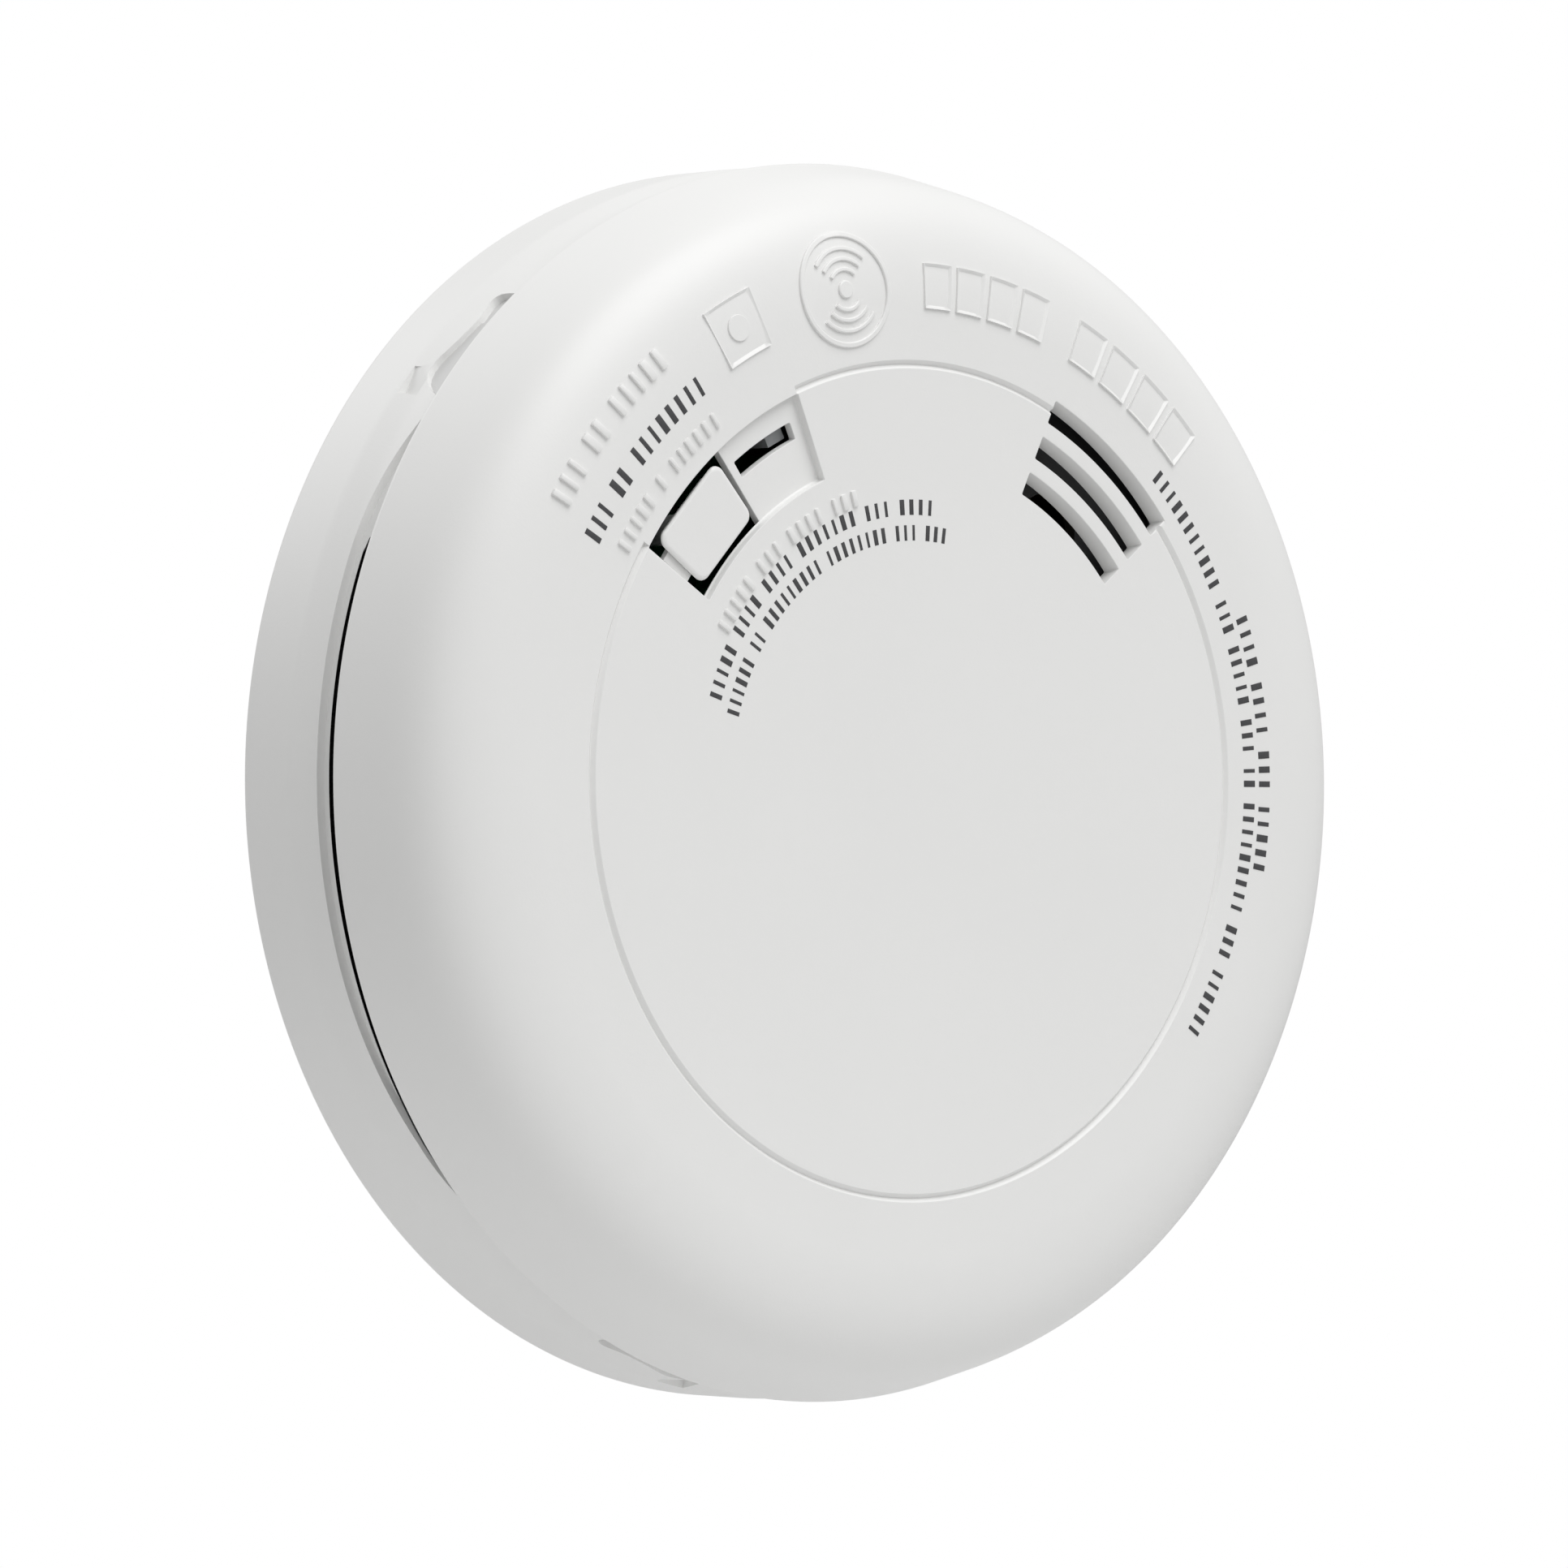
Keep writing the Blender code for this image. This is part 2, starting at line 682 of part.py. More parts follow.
def test_switch():
    x, y, _ = polar(BUTTON_RADIUS, BUTTON_POST_ANGLE)
    bm = bmesh.new()
    block(bm, (x, y), (SWITCH_BODY, SWITCH_BODY, SWITCH_HEIGHT), SEAT, BUTTON_POST_ANGLE)
    body = add_piece("test_switch_body", bm, "black_plastic")
    well = bmesh.new()
    floor = SEAT + SWITCH_HEIGHT - PLUNGER_DEPTH - 2 * GAP
    cylinder(well, (x, y), PLUNGER_RADIUS + GAP, floor, SEAT + SWITCH_HEIGHT + GAP, 16)
    cut(body, well)
    bm = bmesh.new()
    bottom = SEAT + SWITCH_HEIGHT - PLUNGER_DEPTH
    cylinder(bm, (x, y), PLUNGER_RADIUS, bottom, PLUNGER_TOP, 16)
    add_piece("test_switch_plunger", bm, "black_plastic", (x, y, PLUNGER_TOP))


# Circuit board and what stands on it


def circuit_board():
    half = math.asin(-BOARD_FLAT / BOARD_RADIUS)
    start, end = -half, math.pi + half
    count = 40
    angles = [start + (end - start) * i / count for i in range(count + 1)]
    outline = [(BOARD_RADIUS * math.cos(a), BOARD_RADIUS * math.sin(a)) for a in angles]
    bm = bmesh.new()
    prism(bm, outline, BOARD_BOTTOM, BOARD_TOP)
    board = add_piece("circuit_board", bm, "board_green")
    holes = bmesh.new()
    for place in boss_places():
        cylinder(holes, place, SCREW_RADIUS + GAP, BOARD_BOTTOM - GAP, BOARD_TOP + GAP, 16)
    cut(board, holes)


def board_screws():
    tip = FLOOR_UNDERSIDE + 0.0012
    profile = [
        (0.0, tip),
        (SCREW_RADIUS * 0.5, tip),
        (SCREW_RADIUS, tip + 0.0010),
        (SCREW_RADIUS, SEAT),
        (SCREW_HEAD_RADIUS, SEAT),
        (SCREW_HEAD_RADIUS, SEAT + SCREW_HEAD_HEIGHT * 0.55),
        (SCREW_HEAD_RADIUS * 0.75, SEAT + SCREW_HEAD_HEIGHT * 0.9),
        (0.0, SEAT + SCREW_HEAD_HEIGHT),
    ]
    for number, place in enumerate(boss_places(), 1):
        bm = bmesh.new()
        turn(bm, profile, place, 16)
        screw = add_piece(f"board_screw_{number}", bm, "steel")
        cross = bmesh.new()
        bottom = SEAT + SCREW_HEAD_HEIGHT * 0.45
        depth = SCREW_HEAD_HEIGHT
        block(cross, place, (0.0024, 0.0006, depth), bottom)
        cut(screw, cross)
        cross = bmesh.new()
        block(cross, place, (0.0006, 0.0024, depth), bottom - 0.00005)
        cut(screw, cross)


def on_board(name, centre, size, finish, angle=0.0):
    bm = bmesh.new()
    block(bm, centre, size, SEAT, angle)
    return add_piece(name, bm, finish)


def board_parts():
    on_board("control_chip", (0.000, 0.016), (0.010, 0.010, 0.0016), "black_plastic")
    on_board("horn_driver_chip", (0.045, 0.022), (0.006, 0.005, 0.0015), "black_plastic", 30.0)
    for number, (x, y) in enumerate(((0.0400, -0.0240), (0.0005, -0.0020)), 1):
        bm = bmesh.new()
        top = SEAT + 0.0110
        turn(
            bm,
            [(0.0, SEAT), (0.0032, SEAT), (0.0032, top - 0.0004), (0.0028, top), (0.0, top)],
            (x, y),
            SMALL_STEPS,
        )
        add_piece(f"capacitor_{number}", bm, "capacitor_wrap")
    bm = bmesh.new()
    turn(
        bm,
        [
            (0.0, SEAT),
            (0.0046, SEAT),
            (0.0046, SEAT + 0.0012),
            (0.0034, SEAT + 0.0012),
            (0.0034, SEAT + 0.0060),
            (0.0046, SEAT + 0.0060),
            (0.0046, SEAT + 0.0072),
            (0.0, SEAT + 0.0072),
        ],
        (-0.0060, 0.0420),
        SMALL_STEPS,
    )
    add_piece("horn_coil", bm, "ferrite")


def indicator():
    """Light pipe under the cover's light slot, with the two lamps that shine into its foot."""
    centre = polar(LIGHT_SLOT_RADIUS, PIPE_ANGLE)[:2]
    turned = PIPE_ANGLE + 90.0
    foot_bottom = SEAT + LAMP_SIZE[2] + GAP
    top = FACE_HEIGHT - COVER_WALL - 2 * GAP
    bm = bmesh.new()
    block(bm, centre, (PIPE_LENGTH, PIPE_WIDTH, top - foot_bottom - GAP), foot_bottom + GAP, turned)
    pipe = add_piece("light_pipe", bm, "clear_acrylic")
    foot = bmesh.new()
    block(foot, centre, PIPE_FOOT, foot_bottom, turned)
    join(pipe, foot)
    along = polar(1.0, turned)
    for name, side, finish in (("alarm_lamp", -0.5, "red_plastic"), ("power_lamp", 0.5, "green_plastic")):
        x = centre[0] + along.x * side * LAMP_PITCH
        y = centre[1] + along.y * side * LAMP_PITCH
        on_board(name, (x, y), LAMP_SIZE, finish, turned)


# Smoke chamber


def chamber_point(radius, angle):
    place = polar(radius, angle)
    return (CHAMBER_CENTRE[0] + place.x, CHAMBER_CENTRE[1] + place.y)


def lying_cylinder(bm, centre, angle, radius, length, height, steps=12):
    """A cylinder lying along a plan direction."""
    place = Matrix.Translation((*centre, height)) @ Matrix.Rotation(math.radians(angle), 4, "Z")
    place = place @ Matrix.Rotation(math.pi / 2, 4, "Y")
    bmesh.ops.create_cone(
        bm, cap_ends=True, segments=steps, radius1=radius, radius2=radius, depth=length, matrix=place
    )


def smoke_chamber():
    floor_top = SEAT + CHAMBER_FLOOR
    bm = bmesh.new()
    cylinder(bm, CHAMBER_CENTRE, CHAMBER_RADIUS, SEAT, floor_top, 40)
    base = add_piece("chamber_base", bm, "black_plastic")
    blocks = bmesh.new()
    for angle in (LED_ANGLE, DIODE_ANGLE):
        block(blocks, chamber_point(OPTICS_REACH, angle), OPTICS_BLOCK, floor_top - GAP, angle)
    join(base, blocks)
    optics_height = floor_top + OPTICS_BLOCK[2] / 2
    bores = bmesh.new()
    for angle in (LED_ANGLE, DIODE_ANGLE):
        middle = chamber_point(OPTICS_REACH, angle)
        radius = OPTICS_RADIUS + GAP
        lying_cylinder(bores, middle, angle, radius, 2 * OPTICS_BLOCK[0], optics_height)
    cut(base, bores)

    for name, angle, finish in (
        ("infrared_lamp", LED_ANGLE, "clear_acrylic"),
        ("light_sensor", DIODE_ANGLE, "black_plastic"),
    ):
        bm = bmesh.new()
        middle = chamber_point(OPTICS_REACH, angle)
        lying_cylinder(bm, middle, angle, OPTICS_RADIUS, OPTICS_BLOCK[0] - 0.0020, optics_height)
        add_piece(name, bm, finish)

    lid_top = SEAT + CHAMBER_HEIGHT
    lid_bottom = lid_top - CHAMBER_LID
    screen_inner = CHAMBER_RADIUS - 0.0006 - SCREEN_THICKNESS
    bm = bmesh.new()
    cylinder(bm, CHAMBER_CENTRE, CHAMBER_RADIUS, lid_bottom, lid_top, 40)
    cap = add_piece("chamber_cap", bm, "black_plastic")
    vanes = bmesh.new()
    reach = screen_inner - GAP - VANE_LENGTH / 2
    for number in range(VANE_COUNT):
        angle = 360.0 * number / VANE_COUNT
        height = lid_bottom + GAP - (floor_top + GAP)
        size = (VANE_LENGTH, VANE_THICKNESS, height)
        block(vanes, chamber_point(reach, angle), size, floor_top + GAP, angle + VANE_TURN)
    join(cap, vanes)

    bm = bmesh.new()
    outer = screen_inner + SCREEN_THICKNESS
    bottom, top = floor_top + GAP, lid_bottom - GAP
    turn(
        bm,
        [(screen_inner, bottom), (outer, bottom), (outer, top), (screen_inner, top)],
        CHAMBER_CENTRE,
        40,
    )
    add_piece("insect_screen", bm, "steel")


# Carbon monoxide cell


def carbon_monoxide_cell():
    top = SEAT + CELL_HEIGHT
    bm = bmesh.new()
    turn(
        bm,
        [
            (0.0, SEAT),
            (CELL_RADIUS, SEAT),
            (CELL_RADIUS, SEAT + 0.0020),
            (CELL_RADIUS - 0.0004, SEAT + 0.0026),
            (CELL_RADIUS - 0.0004, top - 0.0005),
            (CELL_RADIUS - 0.0009, top),
            (0.0, top),
        ],
        CELL_CENTRE,
        36,
    )
    add_piece("gas_cell", bm, "cell_blue")
    bottom = top + GAP
    cap_top = bottom + CELL_CAP_HEIGHT
    bm = bmesh.new()
    turn(
        bm,
        [
            (CELL_INLET_RADIUS, bottom),
            (CELL_RADIUS, bottom),
            (CELL_RADIUS, cap_top - 0.0004),
            (CELL_RADIUS - 0.0004, cap_top),
            (CELL_INLET_RADIUS + 0.0008, cap_top),
            (CELL_INLET_RADIUS, cap_top - 0.0006),
        ],
        CELL_CENTRE,
        36,
    )
    add_piece("gas_cell_cap", bm, "white_plastic")


# Horn


def horn():
    bore = HORN_RADIUS - HORN_WALL
    seat = DISC_HEIGHT + DISC_THICKNESS + GAP
    bm = bmesh.new()
    turn(
        bm,
        [
            (HORN_MOUTH_RADIUS, HORN_TOP),
            (HORN_MOUTH_RADIUS, HORN_TOP - HORN_WALL),
            (DISC_RADIUS - 0.0012, HORN_TOP - HORN_WALL),
            (DISC_RADIUS - 0.0012, seat),
            (bore, seat),
            (bore, SEAT),
            (HORN_RADIUS, SEAT),
            (HORN_RADIUS, HORN_TOP - 0.0010),
            (HORN_RADIUS - 0.0010, HORN_TOP),
        ],
        HORN_CENTRE,
        40,
    )
    add_piece("horn_housing", bm, "black_plastic")

    bm = bmesh.new()
    cylinder(bm, HORN_CENTRE, DISC_RADIUS, DISC_HEIGHT, DISC_HEIGHT + DISC_THICKNESS, 40)
    add_piece("horn_disc", bm, "brass")
    bm = bmesh.new()
    ceramic_top = DISC_HEIGHT - GAP
    cylinder(bm, HORN_CENTRE, CERAMIC_RADIUS, ceramic_top - GAP, ceramic_top, 36)
    add_piece("horn_ceramic", bm, "ceramic")

    bm = bmesh.new()
    top = DISC_HEIGHT - GAP
    bottom = top - RETAINER_HEIGHT
    ring_inner, ring_outer = DISC_RADIUS - 0.0015, bore - GAP
    turn(
        bm,
        [(ring_inner, bottom), (ring_outer, bottom), (ring_outer, top), (ring_inner, top)],
        HORN_CENTRE,
        40,
    )
    add_piece("horn_retainer", bm, "black_plastic")

    for number, radius in enumerate(CONTACT_RADII, 1):
        touch = DISC_HEIGHT - GAP if radius > CERAMIC_RADIUS else ceramic_top - 2 * GAP
        x, y, _ = polar(radius, 250.0)
        x, y = HORN_CENTRE[0] + x, HORN_CENTRE[1] + y
        spring_contact(f"horn_contact_{number}", x, y, SEAT, touch)


def spring_contact(name, x, y, bottom, top):
    """A sprung wire, bowed in the middle, that stands between the board and the horn's disc."""
    count, bow = 8, 0.0011
    points = []
    for step in range(count + 1):
        share = step / count
        lean = bow * math.sin(math.pi * share) ** 2
        points.append((x + lean, y, bottom + (top - bottom) * share))
    wire(name, points, CONTACT_WIRE, "nickel")


def wire(name, points, radius, finish):
    curve = bpy.data.curves.new(name, "CURVE")
    curve.dimensions = "3D"
    curve.bevel_depth = radius
    curve.bevel_resolution = 2
    curve.use_fill_caps = True
    spline = curve.splines.new("POLY")
    spline.points.add(len(points) - 1)
    for point, place in zip(spline.points, points):
        point.co = (*place, 1.0)
    curve.materials.append(material(finish))
    piece = bpy.data.objects.new(name, curve)
    bpy.context.scene.collection.objects.link(piece)
    piece.parent = FRAME


# Battery pack


def battery_shape(bm, middle, length, radius, with_terminal):
    """A cell lying along x. Its raised terminal points along +x."""
    profile = [(0.0, -length / 2), (radius, -length / 2), (radius, length / 2), (0.0, length / 2)]
    if with_terminal:
        shoulder = length / 2 - TERMINAL_HEIGHT
        profile = [
            (0.0, -length / 2),
            (radius - 0.0006, -length / 2),
            (radius, 0.0006 - length / 2),
            (radius, shoulder - 0.0006),
            (radius - 0.0006, shoulder),
            (TERMINAL_RADIUS, shoulder),
            (TERMINAL_RADIUS, length / 2),
            (0.0, length / 2),
        ]
    turn(bm, profile, (0.0, 0.0), 28)
    lie = Matrix.Translation((middle, BATTERY_Y, BATTERY_Z)) @ Matrix.Rotation(math.pi / 2, 4, "Y")
    bmesh.ops.transform(bm, matrix=lie, verts=bm.verts)


def batteries():
    offset = BATTERY_GAP / 2 + BATTERY_LENGTH / 2
    for number, side in enumerate((-1, 1), 1):
        bm = bmesh.new()
        battery_shape(bm, side * offset, BATTERY_LENGTH, BATTERY_RADIUS, True)
        add_piece(f"battery_{number}", bm, "battery_wrap")

    bottom = BATTERY_Z - STRAP_WIDTH / 2
    ends = BATTERY_GAP + BATTERY_LENGTH
    for name, x in (("battery_link", 0.0), ("negative_tab", -ends), ("positive_tab", ends)):
        bm = bmesh.new()
        block(bm, (x, BATTERY_Y), (STRAP_THICKNESS, STRAP_WIDTH, STRAP_WIDTH), bottom)
        add_piece(name, bm, "nickel")

    for name, side, finish in (("negative_lead", -1, "black_plastic"), ("positive_lead", 1, "red_plastic")):
        x = side * (ends + STRAP_THICKNESS / 2 + GAP + LEAD_RADIUS)
        rise = BATTERY_Z + STRAP_WIDTH / 4
        landing = BOARD_FLAT + LEAD_LANDING
        high = BATTERY_Z + STRAP_WIDTH
        handles = (
            (x, BATTERY_Y, rise),
            (x, (BATTERY_Y + landing) / 2, high),
            (x, landing, high),
            (x, landing, SEAT),
        )
        wire(name, [curve_point(handles, i / 14) for i in range(15)], LEAD_RADIUS, finish)


# Power switch


def power_switch():
    x, y = POWER_CENTRE
    length, width, height = POWER_BODY
    bottom = BOARD_BOTTOM - GAP - height
    bm = bmesh.new()
    block(bm, POWER_CENTRE, POWER_BODY, bottom)
    body = add_piece("power_switch_body", bm, "black_plastic")
    knob_length, knob_width = KNOB
    slot = (knob_length + POWER_TRAVEL + 2 * GAP, knob_width + 2 * GAP, 2 * KNOB_DEPTH + 2 * GAP)
    track = bmesh.new()
    block(track, POWER_CENTRE, slot, bottom - KNOB_DEPTH)
    cut(body, track)
    knob_x = x - POWER_TRAVEL / 2
    bm = bmesh.new()
    block(bm, (knob_x, y), (knob_length, knob_width, KNOB_REACH + KNOB_DEPTH), bottom - KNOB_REACH)
    add_piece("power_switch_knob", bm, "white_plastic", (knob_x, y, bottom))


clear_scene()
FRAME = upright_frame()
mounting_bracket()
back_housing()
vent_screens()
rating_label()
front_cover()
test_button()
test_switch()
circuit_board()
board_screws()
board_parts()
indicator()
smoke_chamber()
carbon_monoxide_cell()
horn()
batteries()
power_switch()
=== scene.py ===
import math

import bpy
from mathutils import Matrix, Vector


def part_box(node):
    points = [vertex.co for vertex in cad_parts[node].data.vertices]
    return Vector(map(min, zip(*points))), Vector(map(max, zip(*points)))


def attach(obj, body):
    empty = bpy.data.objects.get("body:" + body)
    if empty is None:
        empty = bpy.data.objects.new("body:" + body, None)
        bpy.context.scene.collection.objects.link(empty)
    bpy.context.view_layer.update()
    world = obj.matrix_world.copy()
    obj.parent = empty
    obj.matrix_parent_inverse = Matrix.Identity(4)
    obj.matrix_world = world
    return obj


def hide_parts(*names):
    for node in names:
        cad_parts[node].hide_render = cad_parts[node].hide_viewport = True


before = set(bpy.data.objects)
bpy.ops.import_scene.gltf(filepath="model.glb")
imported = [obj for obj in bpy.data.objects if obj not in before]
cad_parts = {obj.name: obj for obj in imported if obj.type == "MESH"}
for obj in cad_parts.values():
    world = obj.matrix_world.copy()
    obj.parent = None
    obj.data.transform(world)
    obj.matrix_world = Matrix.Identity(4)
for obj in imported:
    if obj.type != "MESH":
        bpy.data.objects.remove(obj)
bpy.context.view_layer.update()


# ---------------------------------------------------------------------------------------------
# Mounting bracket. The disc that stays on the wall: white ABS, injection moulded, with four
# countersunk screw slots and three notches in its flange for the housing's lugs. Sizes are in
# millimetres and degrees: radius, height out from the wall, and angle from the right.
# ---------------------------------------------------------------------------------------------
MM = 0.001
SEGMENT = 1.25


class Paint:
    """A value somewhere in a material's nodes, which ordinary arithmetic carries on from."""

    def __init__(self, tree, socket=None):
        self.tree = tree
        self.socket = socket

    def node(self, kind, settings=None, inputs=None, out=0):
        node = self.tree.nodes.new(kind)
        for name, value in (settings or {}).items():
            setattr(node, name, value)
        for name, value in (inputs or {}).items():
            socket = node.inputs[name]
            if isinstance(value, Paint):
                self.tree.links.new(value.socket, socket)
            else:
                socket.default_value = value
        return Paint(self.tree, node.outputs[out])

    def maths(self, operation, first, second=0.0):
        return self.node("ShaderNodeMath", {"operation": operation}, {0: first, 1: second})

    def __add__(self, other):
        return self.maths("ADD", self, other)

    def __radd__(self, other):
        return self.maths("ADD", other, self)

    def __sub__(self, other):
        return self.maths("SUBTRACT", self, other)

    def __rsub__(self, other):
        return self.maths("SUBTRACT", other, self)

    def __mul__(self, other):
        return self.maths("MULTIPLY", self, other)

    def __rmul__(self, other):
        return self.maths("MULTIPLY", other, self)

    def __lt__(self, other):
        return self.maths("LESS_THAN", self, other)

    def __gt__(self, other):
        return self.maths("GREATER_THAN", self, other)

    def mix(self, low, high):
        """The colour that this value picks between low, at 0, and high, at 1."""
        ends = [end if isinstance(end, Paint) else (*end, 1.0) for end in (low, high)]
        inputs = {0: self, 6: ends[0], 7: ends[1]}
        return self.node("ShaderNodeMix", {"data_type": "RGBA"}, inputs, 2)

    def places(self):
        return self.node("ShaderNodeTexCoord", out="Object")

    def axis(self, name):
        """The X, Y or Z of a point on the piece, in metres."""
        return self.node("ShaderNodeSeparateXYZ", inputs={0: self.places()}, out=name)

    def noise(self, size, detail=2.0, stretch=(1.0, 1.0, 1.0)):
        """Soft mottling whose blotches are about this many millimetres across."""
        spread = self.node(
            "ShaderNodeMapping", inputs={"Vector": self.places(), "Scale": stretch}
        )
        inputs = {"Vector": spread, "Scale": 1.0 / (size * MM), "Detail": detail}
        return self.node("ShaderNodeTexNoise", inputs=inputs)

    def bump(self, height, depth, strength=1.0):
        inputs = {"Height": height, "Distance": depth * MM, "Strength": strength}
        return self.node("ShaderNodeBump", inputs=inputs, out="Normal")


def finish(name):
    """An empty material: its shader and a starting point for the paint on it."""
    made = bpy.data.materials.new(name)
    made.use_nodes = True
    shader = made.node_tree.nodes["Principled BSDF"]
    return made, shader, Paint(made.node_tree)


def drive(shader, **links):
    """Joins painted values to the shader's sockets, such as base_color."""
    for name, value in links.items():
        socket = shader.inputs[name.replace("_", " ").title()]
        value.tree.links.new(value.socket, socket)


def moulded_plastic(name, colour, roughness, grain=0.30, depth=0.010, mottle=0.03):
    """Injection-moulded plastic: a spark-eroded grain, with slight flow and colour unevenness."""
    made, shader, paint = finish(name)
    shader.inputs["IOR"].default_value = 1.53
    broad = paint.noise(28.0, 3.0)
    fine = paint.noise(grain, 2.0)
    pitted = paint.noise(grain * 3.2, 1.0)
    dull = tuple(channel * (1.0 - mottle) for channel in colour)
    rubbed = roughness + (fine - 0.5) * 0.10 + (broad - 0.5) * 0.08
    relief = fine * 0.7 + pitted * 0.3
    drive(
        shader,
        base_color=broad.mix(dull, colour),
        roughness=rubbed,
        normal=paint.bump(relief, depth),
    )
    return made


def polar(radius, angle, height=0.0):
    """A point of the plan: millimetres and degrees in, metres out."""
    turn = math.radians(angle)
    return Vector((radius * math.cos(turn), radius * math.sin(turn), height)) * MM


def edit(piece):
    bpy.ops.object.select_all(action="DESELECT")
    piece.select_set(True)
    bpy.context.view_layer.objects.active = piece
    bpy.ops.object.mode_set(mode="EDIT")
    bpy.ops.mesh.select_all(action="SELECT")


def close_up():
    """Joins what meets, drops loose edges and faces the skin outwards, then leaves edit mode."""
    bpy.ops.mesh.select_all(action="SELECT")
    bpy.ops.mesh.remove_doubles(threshold=1e-6)
    bpy.ops.mesh.delete_loose()
    bpy.ops.mesh.select_all(action="SELECT")
    bpy.ops.mesh.normals_make_consistent(inside=False)
    bpy.ops.object.mode_set(mode="OBJECT")


def spun(section, start=0.0, end=360.0, step=SEGMENT):
    """The solid that a section of (radius, height) points leaves as it is spun about the axis."""
    whole = end - start >= 360.0
    bpy.ops.object.select_all(action="DESELECT")
    bpy.ops.mesh.primitive_circle_add(
        vertices=len(section), fill_type="NOTHING" if whole else "NGON"
    )
    piece = bpy.context.object
    for vertex, (radius, height) in zip(piece.data.vertices, section):
        vertex.co = polar(radius, start, height)
    edit(piece)
    bpy.ops.mesh.spin(
        steps=max(1, round((end - start) / step)),
        angle=-math.radians(end - start),
        center=(0.0, 0.0, 0.0),
        axis=(0.0, 0.0, 1.0),
    )
    close_up()
    return piece


def block(inner, outer, start, end, bottom, top, step=SEGMENT):
    return spun([(inner, bottom), (outer, bottom), (outer, top), (inner, top)], start, end, step)


def upright(outline, bottom, top):
    """A straight-sided solid raised from a flat outline of plan points."""
    bpy.ops.object.select_all(action="DESELECT")
    bpy.ops.mesh.primitive_circle_add(vertices=len(outline), fill_type="NGON")
    piece = bpy.context.object
    for vertex, point in zip(piece.data.vertices, outline):
        vertex.co = (point[0], point[1], bottom * MM)
    edit(piece)
    rise = {"value": (0.0, 0.0, (top - bottom) * MM)}
    bpy.ops.mesh.extrude_region_move(TRANSFORM_OT_translate=rise)
    close_up()
    return piece


def joined(pieces):
    bpy.ops.object.select_all(action="DESELECT")
    for piece in pieces:
        piece.select_set(True)
    bpy.context.view_layer.objects.active = pieces[0]
    if len(pieces) > 1:
        bpy.ops.object.join()
    return pieces[0]


def apply(piece, kind, **settings):
    """Adds a modifier with these settings and applies it."""
    bpy.ops.object.select_all(action="DESELECT")
    piece.select_set(True)
    bpy.context.view_layer.objects.active = piece
    modifier = piece.modifiers.new(kind.lower(), kind)
    for name, value in settings.items():
        setattr(modifier, name, value)
    bpy.ops.object.modifier_apply(modifier=modifier.name)


def combine(piece, tools, operation):
    tool = joined(tools)
    apply(piece, "BOOLEAN", operation=operation, object=tool, solver="EXACT")
    bpy.data.objects.remove(tool)


def cut(piece, *tools):
    combine(piece, tools, "DIFFERENCE")


def fuse(piece, *tools):
    combine(piece, tools, "UNION")


def clear_flats(piece):
    """Takes out the needless edges that lie across flat faces."""
    apply(piece, "DECIMATE", decimate_type="DISSOLVE", angle_limit=math.radians(0.3))


def round_edges(piece, width, angle=40.0, segments=2):
    clear_flats(piece)
    apply(
        piece,
        "BEVEL",
        width=width * MM,
        segments=segments,
        limit_method="ANGLE",
        angle_limit=math.radians(angle),
        use_clamp_overlap=False,
        miter_outer="MITER_ARC",
    )


def complete(piece, name, made, body, nodes=(), smooth=30.0):
    """Stands a piece up on the wall, names it, and gives it its finish and the body it rides on."""
    piece.name = name
    piece.data.name = name
    bpy.ops.object.select_all(action="DESELECT")
    piece.select_set(True)
    bpy.context.view_layer.objects.active = piece
    piece.rotation_euler = (math.pi / 2, 0.0, 0.0)
    bpy.ops.object.transform_apply(location=True, rotation=True, scale=True)
    bpy.ops.object.shade_smooth_by_angle(angle=math.radians(smooth))
    apply(piece, "WEIGHTED_NORMAL", keep_sharp=True, weight=100, thresh=0.001)
    piece.data.materials.clear()
    piece.data.materials.append(made)
    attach(piece, body)
    if nodes:
        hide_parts(*nodes)
    return piece


def slot_outline(centre, straight, width, angle, corners=10):
    """A straight slot with round ends, as plan points in metres."""
    along = polar(straight / 2, angle)
    outline = []
    for end, first in ((along, angle - 90.0), (-along, angle + 90.0)):
        for step in range(corners + 1):
            outline.append((centre + end + polar(width / 2, first + 180.0 * step / corners))[:2])
    return outline


PLATE = 2.4
PLATE_RADIUS = 60.05
FLANGE_RADIUS = 67.45
FLANGE_LOW, FLANGE_HIGH = 3.1, 4.7
bracket = spun(
    [
        (0.0, 0.0),
        (PLATE_RADIUS - 0.5, 0.0),
        (PLATE_RADIUS - 0.15, 0.15),
        (PLATE_RADIUS, 0.5),
        (PLATE_RADIUS, FLANGE_LOW - 0.35),
        (PLATE_RADIUS + 0.1, FLANGE_LOW - 0.1),
        (PLATE_RADIUS + 0.35, FLANGE_LOW),
        (FLANGE_RADIUS - 0.3, FLANGE_LOW),
        (FLANGE_RADIUS - 0.1, FLANGE_LOW + 0.1),
        (FLANGE_RADIUS, FLANGE_LOW + 0.3),
        (FLANGE_RADIUS, FLANGE_HIGH - 0.3),
        (FLANGE_RADIUS - 0.1, FLANGE_HIGH - 0.1),
        (FLANGE_RADIUS - 0.3, FLANGE_HIGH),
        (PLATE_RADIUS - 1.9, FLANGE_HIGH),
        (PLATE_RADIUS - 2.0, FLANGE_HIGH - 0.1),
        (PLATE_RADIUS - 2.0, PLATE + 0.4),
        (PLATE_RADIUS - 2.4, PLATE),
        (0.0, PLATE),
    ]
)
clear_flats(bracket)
slots, sinks = [], []
